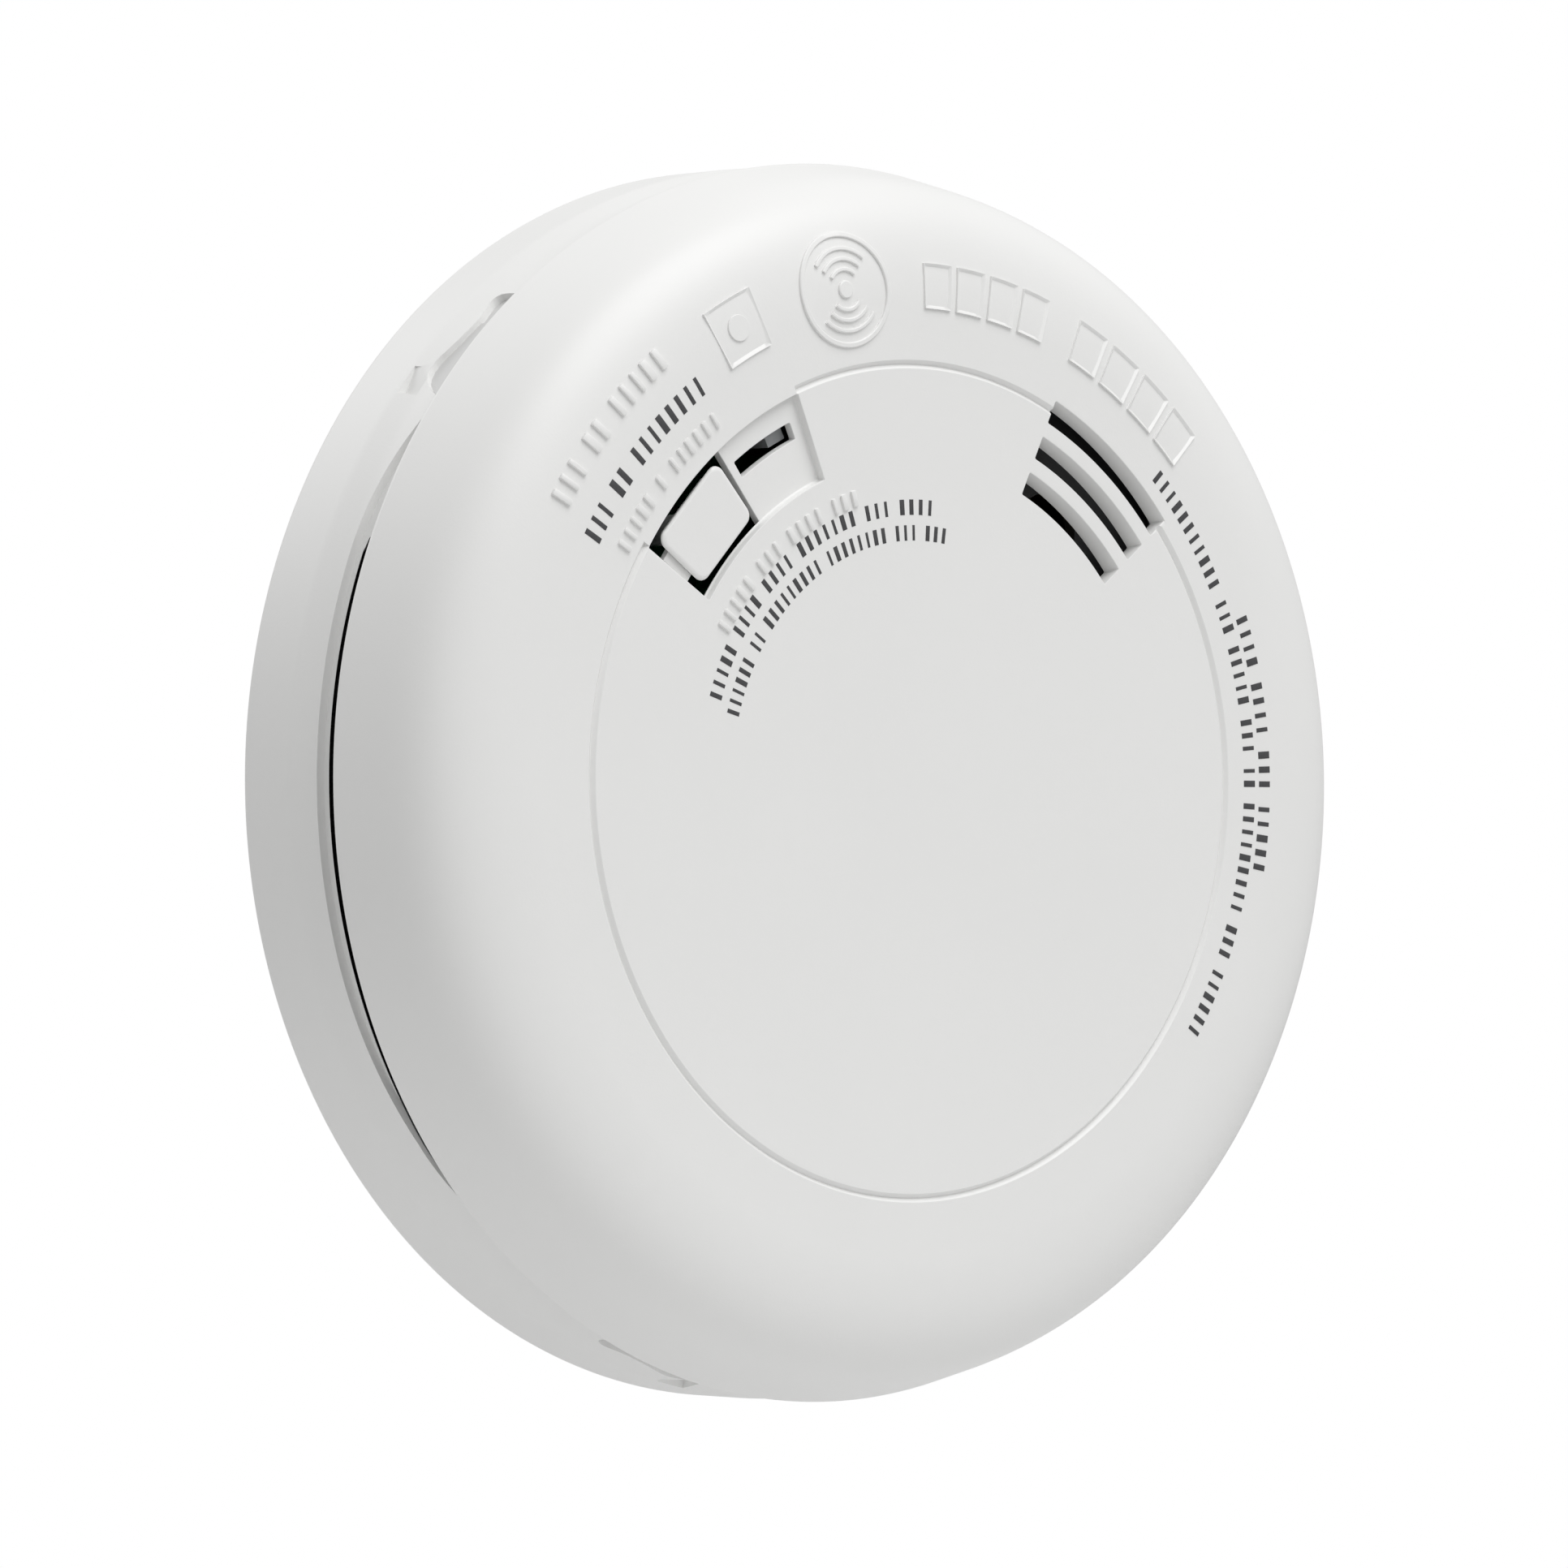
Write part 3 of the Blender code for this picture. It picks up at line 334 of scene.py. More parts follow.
for quarter in range(4):
    angle = 12.0 + 90.0 * quarter
    turned = angle + 90.0 * (quarter % 2)
    centre = polar(42.0, angle)
    slots.append(upright(slot_outline(centre, 7.0, 4.0, turned), -0.3, PLATE + 0.3))
    sinks.append(upright(slot_outline(centre, 7.0, 8.0, turned), PLATE - 0.8, PLATE + 0.3))
for third in (0.0, 120.0, 240.0):
    middle = 207.5 + third
    slots.append(block(PLATE_RADIUS + 0.3, 71.0, middle - 6.5, middle + 6.5, 2.8, 5.0))
cut(bracket, *sinks)
cut(bracket, *slots)
cut(bracket, spun([(48.6, -0.3), (50.4, -0.3), (50.1, 0.45), (48.9, 0.45)]),
    spun([(22.0, -0.3), (23.6, -0.3), (23.3, 0.45), (22.3, 0.45)]))
stops = []
for third in (0.0, 120.0, 240.0):
    edge = 189.5 + third - 5.8
    stops.append(block(PLATE_RADIUS - 0.3, FLANGE_RADIUS - 1.3, edge - 1.4, edge, 0.9, 3.3, 0.7))
fuse(bracket, *stops)
round_edges(bracket, 0.12)
bracket_plastic = moulded_plastic("bracket_plastic", (0.80, 0.80, 0.785), 0.50, 0.35, 0.014)
complete(bracket, "wall_bracket", bracket_plastic, "bracket", ["mounting_bracket"])


# ---------------------------------------------------------------------------------------------
# Back housing. The ring that shows behind the cover's rim, with the floor that closes the alarm
# off from the wall: white ABS, one moulding with air vents along its upper edge, three latch
# windows, lugs for the bracket, screw bosses and a small hatch through its floor.
# ---------------------------------------------------------------------------------------------
RIM = 16.8
RING = 70.85
RING_INNER = 68.25
VENT_CENTRES = (189.5, 309.5, 429.5)
LATCHES = (136.0, 251.0, 13.5)
RING_TOP = 16.4
housing = spun(
    [
        (0.0, 5.2),
        (68.35, 5.2),
        (68.65, 4.9),
        (68.65, 0.8),
        (69.0, 0.45),
        (70.15, 0.4),
        (70.5, 0.5),
        (70.76, 0.78),
        (RING, 1.15),
        (RING, 8.6),
        (RING - 0.03, 9.1),
        (RING - 0.12, 9.7),
        (RING - 0.64, 12.0),
        (RING - 0.76, 12.7),
        (RING - 0.84, 13.5),
        (RING - 0.90, 15.0),
        (RING - 0.93, RING_TOP - 0.3),
        (RING - 1.02, RING_TOP - 0.09),
        (RING - 1.2, RING_TOP),
        (RING_INNER, RING_TOP),
        (RING_INNER, 7.5),
        (RING_INNER - 0.3, 7.2),
        (0.0, 7.2),
    ]
)
clear_flats(housing)


def ledge_cutter(section, start, end, lead, tail):
    """A spun cutter whose floor climbs to the ring's top, over a lead at one end and a tail at the other."""
    cutter = spun(section, start, end)
    top = (RING_TOP + 0.05) * MM
    for vertex in cutter.data.vertices:
        turn = (math.degrees(math.atan2(vertex.co.y, vertex.co.x)) - start + 0.01) % 360.0
        climb = max(0.0, 1.0 - turn / lead, 1.0 - (end - start - turn) / tail)
        vertex.co.z += min(1.0, climb) ** 2 * max(0.0, top - vertex.co.z)
    apply(cutter, "TRIANGULATE")
    return cutter


rabbet = [(69.0, 13.1), (74.0, 13.1), (74.0, 17.2), (69.0, 17.2)]
cut(housing, *[ledge_cutter(rabbet, m - 46.0, m + 36.0, 15.0, 29.0) for m in VENT_CENTRES])
vent = [(67.75, 12.3), (69.42, 14.5), (72.0, 14.5), (72.0, 17.25), (67.75, 17.25)]
cut(housing, *[ledge_cutter(vent, m - 34.5, m + 34.0, 4.0, 9.0) for m in VENT_CENTRES])


def latch_window(middle, floor, roof, start=-8.0, end=8.0):
    """The space in the ring over a latch, wider at its rounded ends, between two radii."""
    edge = [
        (-6.9, 17.6), (-6.9, 13.7), (-6.75, 13.1), (-6.4, 12.7), (-5.9, 12.55), (-5.4, 12.6),
        (-4.6, 12.85), (-3.7, 13.15), (-3.0, 13.25), (-2.0, 13.15), (-0.4, 12.8), (0.9, 12.4),
        (1.8, 12.05), (2.6, 11.85), (3.4, 11.85), (4.2, 12.1), (5.0, 12.75), (5.8, 13.9),
        (6.5, 15.3), (6.9, 16.5), (6.95, 17.6),
    ]
    bpy.ops.object.select_all(action="DESELECT")
    bpy.ops.mesh.primitive_circle_add(vertices=len(edge), fill_type="NGON")
    pocket = bpy.context.object
    for vertex, (turn, height) in zip(pocket.data.vertices, edge):
        vertex.co = polar(65.0, middle + turn, height)
    edit(pocket)
    bpy.ops.mesh.extrude_region_move()
    wider = 75.0 / 65.0
    bpy.ops.transform.resize(
        value=(wider, wider, 1.0), center_override=(0.0, 0.0, 0.0), orient_type="GLOBAL"
    )
    close_up()
    apply(pocket, "TRIANGULATE")
    combine(pocket, [block(floor, roof, middle + start, middle + end, 11.0, 17.1, 0.5)], "INTERSECT")
    return pocket


mounts = []
for angle in (95.0, 200.0, 340.0):
    place = polar(56.45, angle)
    bpy.ops.mesh.primitive_cylinder_add(
        vertices=48, radius=3.6 * MM, depth=2.0 * MM, location=(place.x, place.y, 7.9 * MM)
    )
    boss = bpy.context.object
    bpy.ops.object.transform_apply(location=True)
    mounts.append(boss)
for third in (0.0, 120.0, 240.0):
    middle = 189.5 + third
    mounts.append(block(63.55, 69.2, middle - 5.0, middle + 5.0, 0.9, 2.7))
fuse(housing, *mounts)
bores = []
for angle in (95.0, 200.0, 340.0):
    place = polar(56.45, angle)
    bpy.ops.mesh.primitive_cylinder_add(
        vertices=32, radius=1.5 * MM, depth=4.0 * MM, location=(place.x, place.y, 7.8 * MM)
    )
    bpy.ops.object.transform_apply(location=True)
    bores.append(bpy.context.object)
bpy.ops.mesh.primitive_cube_add(size=1.0, location=(0.045, 0.008, 0.0062))
hatch = bpy.context.object
hatch.scale = (0.0102, 0.0058, 0.0036)
bpy.ops.object.transform_apply(location=True, scale=True)
cut(housing, hatch, *bores)
cut(housing, *[latch_window(middle, 69.32, 73.0, -3.2) for middle in LATCHES])
cut(housing, *[latch_window(middle, 69.1, 73.0, end=-3.2) for middle in LATCHES])
thumbs = []
for middle in LATCHES:
    ramp = ((RING + 1.0, 3.4), (RING - 0.3, 3.4), (RING - 1.2, 6.6), (RING + 1.0, 6.6))
    thumbs.append(upright([polar(radius, middle + turn)[:2] for radius, turn in ramp], 9.5, 12.4))
cut(housing, *thumbs)
housing_plastic = moulded_plastic("housing_plastic", (0.84, 0.84, 0.83), 0.46)
complete(housing, "housing_ring", housing_plastic, "alarm", ["back_housing"])


# ---------------------------------------------------------------------------------------------
# Latch plates. Tabs that fill the floors of the three latch windows, where the cover snaps to the
# housing. Their greyer colour is painted shade, for the shadow that falls inside the windows.
# ---------------------------------------------------------------------------------------------
latches = joined(
    [latch_window(middle, 69.2, 69.44, -3.1) for middle in LATCHES]
    + [latch_window(middle, 69.0, 69.2, end=-3.3) for middle in LATCHES]
)
# Greyer than the housing: painted shade for the shadow inside the latch windows.
latch_painted_shade = moulded_plastic("latch_painted_shade", (0.66, 0.66, 0.655), 0.5)
complete(latches, "latch_shade_plates", latch_painted_shade, "alarm")


# ---------------------------------------------------------------------------------------------
# Vent screens. Curved strips of fine black woven mesh that stand behind the air vents and keep
# insects out of the alarm.
# ---------------------------------------------------------------------------------------------


def dress(made, *names):
    """Gives a finish to pieces that keep their shape from the model."""
    for name in names:
        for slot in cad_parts[name].material_slots:
            slot.material = made


def weave(paint, pitch):
    """How high the threads of a mesh stand, from two crossed waves: 0 in the holes, 1 on a thread."""
    threads = []
    for axis in ("X", "Z"):
        wave = paint.maths("SINE", paint.axis(axis) * (2.0 * math.pi / (pitch * MM)))
        threads.append(wave * 0.5 + 0.5)
    return paint.maths("MAXIMUM", *threads)


made, shader, paint = finish("black_mesh")
thread = weave(paint, 0.7)
drive(
    shader,
    base_color=thread.mix((0.003, 0.003, 0.003), (0.012, 0.012, 0.013)),
    roughness=0.75 - thread * 0.2,
    normal=paint.bump(thread, 0.15),
)
dress(made, "vent_screen_1", "vent_screen_2", "vent_screen_3")


# ---------------------------------------------------------------------------------------------
# Rating label. A round of matt paper on the housing's back. The real one is printed: this one
# has a ring and plain grey rules, and no words.
# ---------------------------------------------------------------------------------------------
made, shader, paint = finish("label_paper")
fibre = paint.noise(0.4, 4.0)
across, up = paint.axis("X"), paint.axis("Z")
far = paint.maths("SQRT", across * across + up * up)
rules = paint.maths("SINE", up * (2.0 * math.pi / (4.2 * MM))) > 0.72
ends = (paint.maths("ABSOLUTE", across) < 21.0 * MM) * (paint.maths("ABSOLUTE", up) < 18.0 * MM)
ring_line = (paint.maths("ABSOLUTE", far - 33.5 * MM) < 0.25 * MM)
ink = paint.maths("MAXIMUM", rules * ends, ring_line)
paper = fibre.mix((0.74, 0.74, 0.73), (0.80, 0.80, 0.79))
drive(
    shader,
    base_color=ink.mix(paper, (0.20, 0.20, 0.21)),
    roughness=0.66 + fibre * 0.12,
    normal=paint.bump(fibre, 0.02),
)
dress(made, "rating_label")


# ---------------------------------------------------------------------------------------------
# Circuit board. Glass-fibre board under a green solder mask, with copper tracks and tinned pads,
# held down by three zinc-plated cross-head screws.
# ---------------------------------------------------------------------------------------------
made, shader, paint = finish("circuit_board")
across, up = paint.axis("X"), paint.axis("Z")
cells = {"feature": "DISTANCE_TO_EDGE"}
track = paint.node(
    "ShaderNodeTexVoronoi", cells, {"Vector": paint.places(), "Scale": 230.0, "Randomness": 0.75}, "Distance"
)
pads = paint.node(
    "ShaderNodeTexVoronoi", {"feature": "F1"}, {"Vector": paint.places(), "Scale": 260.0}, "Distance"
)
line, pad = track < 0.07, pads < 0.16
mask = paint.noise(9.0).mix((0.012, 0.105, 0.040), (0.018, 0.140, 0.055))
green = line.mix(mask, (0.035, 0.210, 0.085))
drive(
    shader,
    base_color=pad.mix(green, (0.62, 0.60, 0.55)),
    metallic=pad * 0.9,
    roughness=0.34 - pad * 0.08 + paint.noise(1.2) * 0.08,
    normal=paint.bump(paint.maths("MAXIMUM", line * 0.5, pad), 0.035),
)
dress(made, "circuit_board")


def bare_metal(name, colour, roughness, brush=(1.0, 1.0, 1.0), spots=0.0):
    """Metal with fine drawn or rolled scratches, and darker spots where it has dulled."""
    made, shader, paint = finish(name)
    scratch = paint.noise(0.25, 4.0, brush)
    dull = paint.noise(1.8, 3.0)
    shade = tuple(channel * (0.82 - spots) for channel in colour)
    drive(
        shader,
        base_color=dull.mix(shade, colour),
        roughness=roughness + scratch * 0.14 + dull * 0.06,
        normal=paint.bump(scratch, 0.006),
    )
    shader.inputs["Metallic"].default_value = 1.0
    return made


steel = bare_metal("zinc_plate", (0.62, 0.63, 0.65), 0.24)
dress(steel, "board_screw_1", "board_screw_2", "board_screw_3")


# ---------------------------------------------------------------------------------------------
# Parts soldered to the board. Two chips in black epoxy, two capacitors in a printed sleeve with
# a bare aluminium end, and the coil that drives the horn: copper wire on a ferrite bobbin.
# ---------------------------------------------------------------------------------------------
made, shader, paint = finish("chip_epoxy")
pit = paint.noise(0.12, 3.0)
drive(
    shader,
    base_color=paint.noise(2.5).mix((0.016, 0.016, 0.017), (0.026, 0.026, 0.028)),
    roughness=0.52 + pit * 0.16,
    normal=paint.bump(pit, 0.012),
)
dress(made, "control_chip", "horn_driver_chip")

low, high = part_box("capacitor_1")
made, shader, paint = finish("capacitor_sleeve")
out = paint.axis("Y")
end = out < low.y + 0.35 * MM
stripe = paint.maths("SINE", paint.axis("X") * (math.pi / (3.2 * MM))) > 0.8
sleeve = stripe.mix((0.020, 0.022, 0.060), (0.55, 0.55, 0.56))
drive(
    shader,
    base_color=end.mix(sleeve, (0.70, 0.70, 0.71)),
    metallic=end * 0.95,
    roughness=0.34 + paint.noise(0.8) * 0.10,
    normal=paint.bump(paint.noise(0.3), 0.008),
)
dress(made, "capacitor_1", "capacitor_2")

low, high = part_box("horn_coil")
made, shader, paint = finish("wound_coil")
out = paint.axis("Y")
wound = (out > low.y + 1.3 * MM) * (out < high.y - 1.3 * MM)
turns = paint.maths("SINE", out * (2.0 * math.pi / (0.35 * MM))) * 0.5 + 0.5
wire_colour = turns.mix((0.30, 0.10, 0.03), (0.72, 0.32, 0.12))
drive(
    shader,
    base_color=wound.mix((0.045, 0.045, 0.047), wire_colour),
    metallic=wound * 0.85,
    roughness=0.62 - wound * 0.34 + paint.noise(0.4) * 0.08,
    normal=paint.bump(turns * wound, 0.06),
)
dress(made, "horn_coil")


# ---------------------------------------------------------------------------------------------
# Smoke chamber. A matt black base and finned cap shut out stray light, a steel mesh keeps out
# insects, and a clear infrared lamp and a dark sensor look across it.
# ---------------------------------------------------------------------------------------------
black_plastic = moulded_plastic("black_plastic", (0.020, 0.020, 0.021), 0.58, 0.35, 0.020, 0.20)
dress(black_plastic, "chamber_base", "chamber_cap")

made, shader, paint = finish("steel_mesh")
thread = weave(paint, 0.8)
drive(
    shader,
    base_color=thread.mix((0.03, 0.03, 0.03), (0.58, 0.58, 0.60)),
    metallic=thread,
    roughness=0.55 - thread * 0.25,
    normal=paint.bump(thread, 0.10),
)
dress(made, "insect_screen")


def clear_resin(name, colour, roughness):
    """Cast or moulded resin that light shines through, with faint swirls."""
    made, shader, paint = finish(name)
    swirl = paint.noise(1.5, 3.0, (1.0, 1.0, 4.0))
    pale = tuple(min(1.0, channel * 1.15) for channel in colour)
    drive(
        shader,
        base_color=swirl.mix(colour, pale),
        roughness=roughness + swirl * 0.08,
        normal=paint.bump(paint.noise(0.5), 0.006),
    )
    shader.inputs["Transmission Weight"].default_value = 0.55
    shader.inputs["IOR"].default_value = 1.49
    return made


dress(clear_resin("lamp_resin", (0.62, 0.60, 0.68), 0.10), "infrared_lamp")
dress(clear_resin("sensor_resin", (0.05, 0.02, 0.05), 0.12), "light_sensor")


# ---------------------------------------------------------------------------------------------
# Carbon monoxide cell. An electrochemical cell in a blue moulded can, under a white cap whose
# small hole lets the room's air reach it.
# ---------------------------------------------------------------------------------------------
cell_plastic = moulded_plastic("cell_plastic", (0.075, 0.180, 0.440), 0.36, 0.30, 0.008, 0.12)
dress(cell_plastic, "gas_cell")
cap_plastic = moulded_plastic("cap_plastic", (0.78, 0.78, 0.76), 0.44)
dress(cap_plastic, "gas_cell_cap")


# ---------------------------------------------------------------------------------------------
# Horn. A black resonator over a brass disc with a ceramic wafer on its back, clipped in by a
# ring and fed through three sprung nickel-plated wires.
# ---------------------------------------------------------------------------------------------
dress(black_plastic, "horn_housing", "horn_retainer")
dress(bare_metal("brass_disc", (0.78, 0.57, 0.25), 0.22, (0.2, 1.0, 3.0)), "horn_disc")
nickel = bare_metal("nickel_strip", (0.68, 0.66, 0.61), 0.26, (0.3, 1.0, 3.0))
dress(nickel, "horn_contact_1", "horn_contact_2", "horn_contact_3")
made, shader, paint = finish("fired_ceramic")
silvered = paint.noise(1.6, 4.0)
drive(
    shader,
    base_color=silvered.mix((0.66, 0.63, 0.56), (0.80, 0.78, 0.73)),
    roughness=0.40 + silvered * 0.2,
    normal=paint.bump(paint.noise(0.2), 0.010),
)
dress(made, "horn_ceramic")


# ---------------------------------------------------------------------------------------------
# Battery pack. Two lithium cells in a blue sleeve with a silver band at one end, joined by a
# welded nickel link, with a tab and an insulated lead at each end of the pack.
# ---------------------------------------------------------------------------------------------
made, shader, paint = finish("battery_sleeve")
along = paint.axis("X")
low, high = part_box("battery_1")
length = high.x - low.x
band = paint.maths("FRACT", (along - (low.x - 2.0 * MM)) * (1.0 / (length + 0.9 * MM))) < 0.20
seam = paint.maths("SINE", along * (2.0 * math.pi / (1.4 * MM))) * 0.5 + 0.5
sleeve = paint.noise(7.0).mix((0.030, 0.085, 0.270), (0.045, 0.120, 0.350))
drive(
    shader,
    base_color=band.mix(sleeve, (0.60, 0.61, 0.63)),
    roughness=0.26 + paint.noise(1.0) * 0.12,
    normal=paint.bump(seam * 0.2 + paint.noise(2.0), 0.020),
)
dress(made, "battery_1", "battery_2")
dress(nickel, "battery_link", "negative_tab", "positive_tab")
for name, colour in (("negative_lead", (0.022, 0.022, 0.024)), ("positive_lead", (0.52, 0.025, 0.020))):
    dress(moulded_plastic(name + "_pvc", colour, 0.34, 0.20, 0.006, 0.10), name)


# ---------------------------------------------------------------------------------------------
# Switches and lamps. The slide switch that turns the alarm on from behind, the push switch under
# the test button, the red and green lamps, and the clear pipe that brings their light forward.
# ---------------------------------------------------------------------------------------------
dress(black_plastic, "power_switch_body", "test_switch_body")
plunger_plastic = moulded_plastic("plunger_plastic", (0.045, 0.045, 0.047), 0.42, 0.25, 0.008, 0.15)
dress(plunger_plastic, "test_switch_plunger")
dress(cap_plastic, "power_switch_knob")
dress(clear_resin("red_resin", (0.58, 0.035, 0.030), 0.16), "alarm_lamp")
dress(clear_resin("green_resin", (0.060, 0.460, 0.110), 0.16), "power_lamp")
dress(clear_resin("pipe_acrylic", (0.74, 0.76, 0.78), 0.12), "light_pipe")


# ---------------------------------------------------------------------------------------------
# Front cover. One white ABS moulding about 2 mm thick: a crowned side and shoulder, a flat face
# with a fine groove round it, the button's recess, the sounder's three curved slots and the
# narrow slot over the lamps. Three tongues inside its rim click into the housing.
# ---------------------------------------------------------------------------------------------
FACE = 33.0
WALL = 2.2
SIDE = ((69.7, 22.0), (68.3, 27.3), (67.5, 33.0), (52.8, 33.0))


def side_curve(share, inset=0.0):
    """A point on the smooth curve from the cover's side to its face, moved in by inset."""
    a, b, c, d = (Vector(handle) for handle in SIDE)
    rest = 1.0 - share
    here = a * rest**3 + b * 3 * rest**2 * share + c * 3 * rest * share**2 + d * share**3
    along = (b - a) * rest**2 + (c - b) * 2 * rest * share + (d - c) * share**2
    inward = Vector((-along.y, along.x)).normalized()
    return tuple(here + inward * inset)


outside = [(69.2, RIM), (70.2, RIM), (70.5, 16.86), (70.73, 17.02), (70.84, 17.27), (70.84, 17.6)]
outside += [side_curve(step / 28) for step in range(29)]
inside = [side_curve(step / 14, WALL) for step in range(15)]
cover = spun(outside + [(0.0, FACE), (0.0, FACE - WALL)] + inside[::-1] + [(68.8, RIM)])
clear_flats(cover)

tongues = []
for middle in LATCHES:
    section = [
        (66.15, 8.2), (67.95, 8.2), (68.75, 9.0), (68.75, 9.8), (67.95, 9.8), (67.95, 17.4),
        (69.25, 19.4), (68.6, 22.0), (66.15, 18.3),
    ]
    tongues.append(spun(section, middle - 4.5, middle + 4.5))
fuse(cover, *tongues)

RECESS = (36.4, 46.7)
RECESS_FLOOR = FACE - 1.05
recess = spun(
    [
        (RECESS[0] + 0.25, RECESS_FLOOR),
        (RECESS[1] - 0.25, RECESS_FLOOR),
        (RECESS[1] - 0.07, RECESS_FLOOR + 0.07),
        (RECESS[1], RECESS_FLOOR + 0.25),
        (RECESS[1], FACE + 0.5),
        (RECESS[0], FACE + 0.5),
        (RECESS[0], RECESS_FLOOR + 0.25),
        (RECESS[0] + 0.07, RECESS_FLOOR + 0.07),
    ],
    112.3,
    147.0,
    1.0,
)
cut(cover, recess)

openings = [
    spun(
        [
            (RECESS[0] - 0.4, FACE - WALL - 0.5),
            (RECESS[1] + 0.4, FACE - WALL - 0.5),
            (RECESS[1] + 0.4, FACE - 1.5),
            (RECESS[1] - 0.1, FACE - 1.4),
            (RECESS[1] - 0.1, FACE - 0.9),
            (RECESS[0] + 0.1, FACE - 0.9),
            (RECESS[0] + 0.1, FACE - 1.4),
            (RECESS[0] - 0.4, FACE - 1.5),
        ],
        128.0,
        146.7,
        1.0,
    ),
    block(41.9, 43.9, 114.3, 126.5, FACE - WALL - 0.5, FACE + 0.5),
]
for outer in (48.5, 43.9, 39.3):
    inner = outer - 2.8
    openings.append(
        spun(
            [
                (inner, FACE - WALL - 0.5),
                (outer - 0.5, FACE - WALL - 0.5),
                (outer - 0.5, FACE - WALL),
                (outer, FACE),
                (outer, FACE + 0.5),
                (inner, FACE + 0.5),
            ],
            39.0,
            64.5,
        )
    )
cut(cover, *openings)
round_edges(cover, 0.14)

GROOVE = 47.2
for start, end in ((64.2, 112.5), (146.8, 399.3)):
    dip = ((0.50, 0.3), (0.50, 0.0), (0.34, -0.10), (0.17, -0.36), (0.0, -0.50))
    section = [(GROOVE - r, FACE + z) for r, z in dip] + [(GROOVE + r, FACE + z) for r, z in dip[-2::-1]]
    cut(cover, spun(section, start, end, 1.0))
cover_plastic = moulded_plastic("cover_plastic", (0.85, 0.85, 0.84), 0.43)
complete(cover, "cover_shell", cover_plastic, "alarm", ["front_cover"])


# ---------------------------------------------------------------------------------------------
# Test button. A rounded white pad in the opening of the cover's recess, moulded in one with the
# springy tongue it bends on and with the post that pushes the switch under it.
# ---------------------------------------------------------------------------------------------
PAD = (37.6, 45.8)
PAD_TOP = FACE - 0.2


def pad_ring(grow, height):
    inner, outer = PAD[0] - grow, PAD[1] + grow
    middle = (inner + outer) / 2
    wider = math.degrees(grow / middle)
    start, end = 129.7 - wider, 144.9 + wider
    corner = 1.0
    ring = []
    for radius, angle, first in (
        (outer - corner, start, -90.0), (outer - corner, end, 0.0),
        (inner + corner, end, 90.0), (inner + corner, start, 180.0),
    ):
        inward = math.degrees(corner / radius)
        centre = angle + inward if angle == start else angle - inward
        for step in range(7):
            turn = math.radians(first + 15.0 * step)
            ring.append(
                polar(
                    radius + corner * math.cos(turn),
                    centre + math.degrees(corner * math.sin(turn) / radius),
                    height,
                )
            )
    return ring


first_ring = pad_ring(-0.85, PAD_TOP - 1.9)
bpy.ops.object.select_all(action="DESELECT")
bpy.ops.mesh.primitive_circle_add(vertices=len(first_ring), fill_type="NGON")
button = bpy.context.object
for vertex, point in zip(button.data.vertices, first_ring):
    vertex.co = point
edit(button)
pad_middle = polar(41.7, 137.3)
lift = PAD_TOP - 1.9
for height, scale in (
    (PAD_TOP - 0.75, 1.0), (PAD_TOP - 0.62, 1.2), (PAD_TOP - 0.42, 1.02), (PAD_TOP - 0.22, 0.992),
    (PAD_TOP - 0.08, 0.972), (PAD_TOP, 0.935),
):
    move = {"value": (0.0, 0.0, (height - lift) * MM)}
    bpy.ops.mesh.extrude_region_move(TRANSFORM_OT_translate=move)
    lift = height
    bpy.ops.transform.resize(
        value=(scale, scale, 1.0), center_override=(pad_middle.x, pad_middle.y, 0.0)
    )
close_up()
tongue = block(39.5, 43.6, 143.4, 146.4, PAD_TOP - 1.6, PAD_TOP - 0.8, 0.5)
place = polar(41.55, 138.0)
bpy.ops.mesh.primitive_cylinder_add(
    vertices=32, radius=1.7 * MM, depth=13.6 * MM, location=(place.x, place.y, 24.2 * MM)
)
post = bpy.context.object
bpy.ops.object.transform_apply(location=True)
fuse(button, tongue, post)
button_plastic = moulded_plastic("button_plastic", (0.85, 0.85, 0.84), 0.40, 0.25, 0.008)
complete(button, "button_pad", button_plastic, "button", ["test_button"])


# ---------------------------------------------------------------------------------------------
# Marks on the cover. The real alarm carries words and badges, raised in the plastic or printed
# in dark grey. Rows of plain bars, blank tiles and a plain roundel stand in for them: the raised
# ones in the cover's own white, the printed ones a thin film of ink.
# ---------------------------------------------------------------------------------------------


def face_height(radius):
    """Height of the cover's outer skin, in metres, at a radius in millimetres."""
    if radius <= SIDE[3][0]:
        return FACE * MM
    low, high = 0.0, 1.0
    for _ in range(30):
        middle = (low + high) / 2
        low, high = (middle, high) if side_curve(middle)[0] > radius else (low, middle)
    return side_curve(low)[1] * MM


def lay_on_face(piece):
    """Drops a flat piece, modelled at the face's height, on to the curve of the cover."""
    for vertex in piece.data.vertices:
        radius = math.hypot(vertex.co.x, vertex.co.y) / MM
        vertex.co.z += face_height(radius) - FACE * MM
    return piece


def bar(length, width, rise, corner):
    """One raised or printed bar, lying along x, with its edges rounded."""
    bpy.ops.object.select_all(action="DESELECT")
    sunk = 0.06
    bpy.ops.mesh.primitive_cube_add(size=1.0, location=(0.0, 0.0, (FACE + (rise - sunk) / 2) * MM))
    piece = bpy.context.object
    piece.scale = (length * MM, width * MM, (rise + sunk) * MM)
    bpy.ops.object.transform_apply(location=True, scale=True)
    edit(piece)
    bpy.ops.mesh.subdivide(number_cuts=1)
    bpy.ops.object.mode_set(mode="OBJECT")
    apply(piece, "BEVEL", width=corner * MM, segments=2, limit_method="ANGLE",
          angle_limit=math.radians(60.0), use_clamp_overlap=True)
    return piece


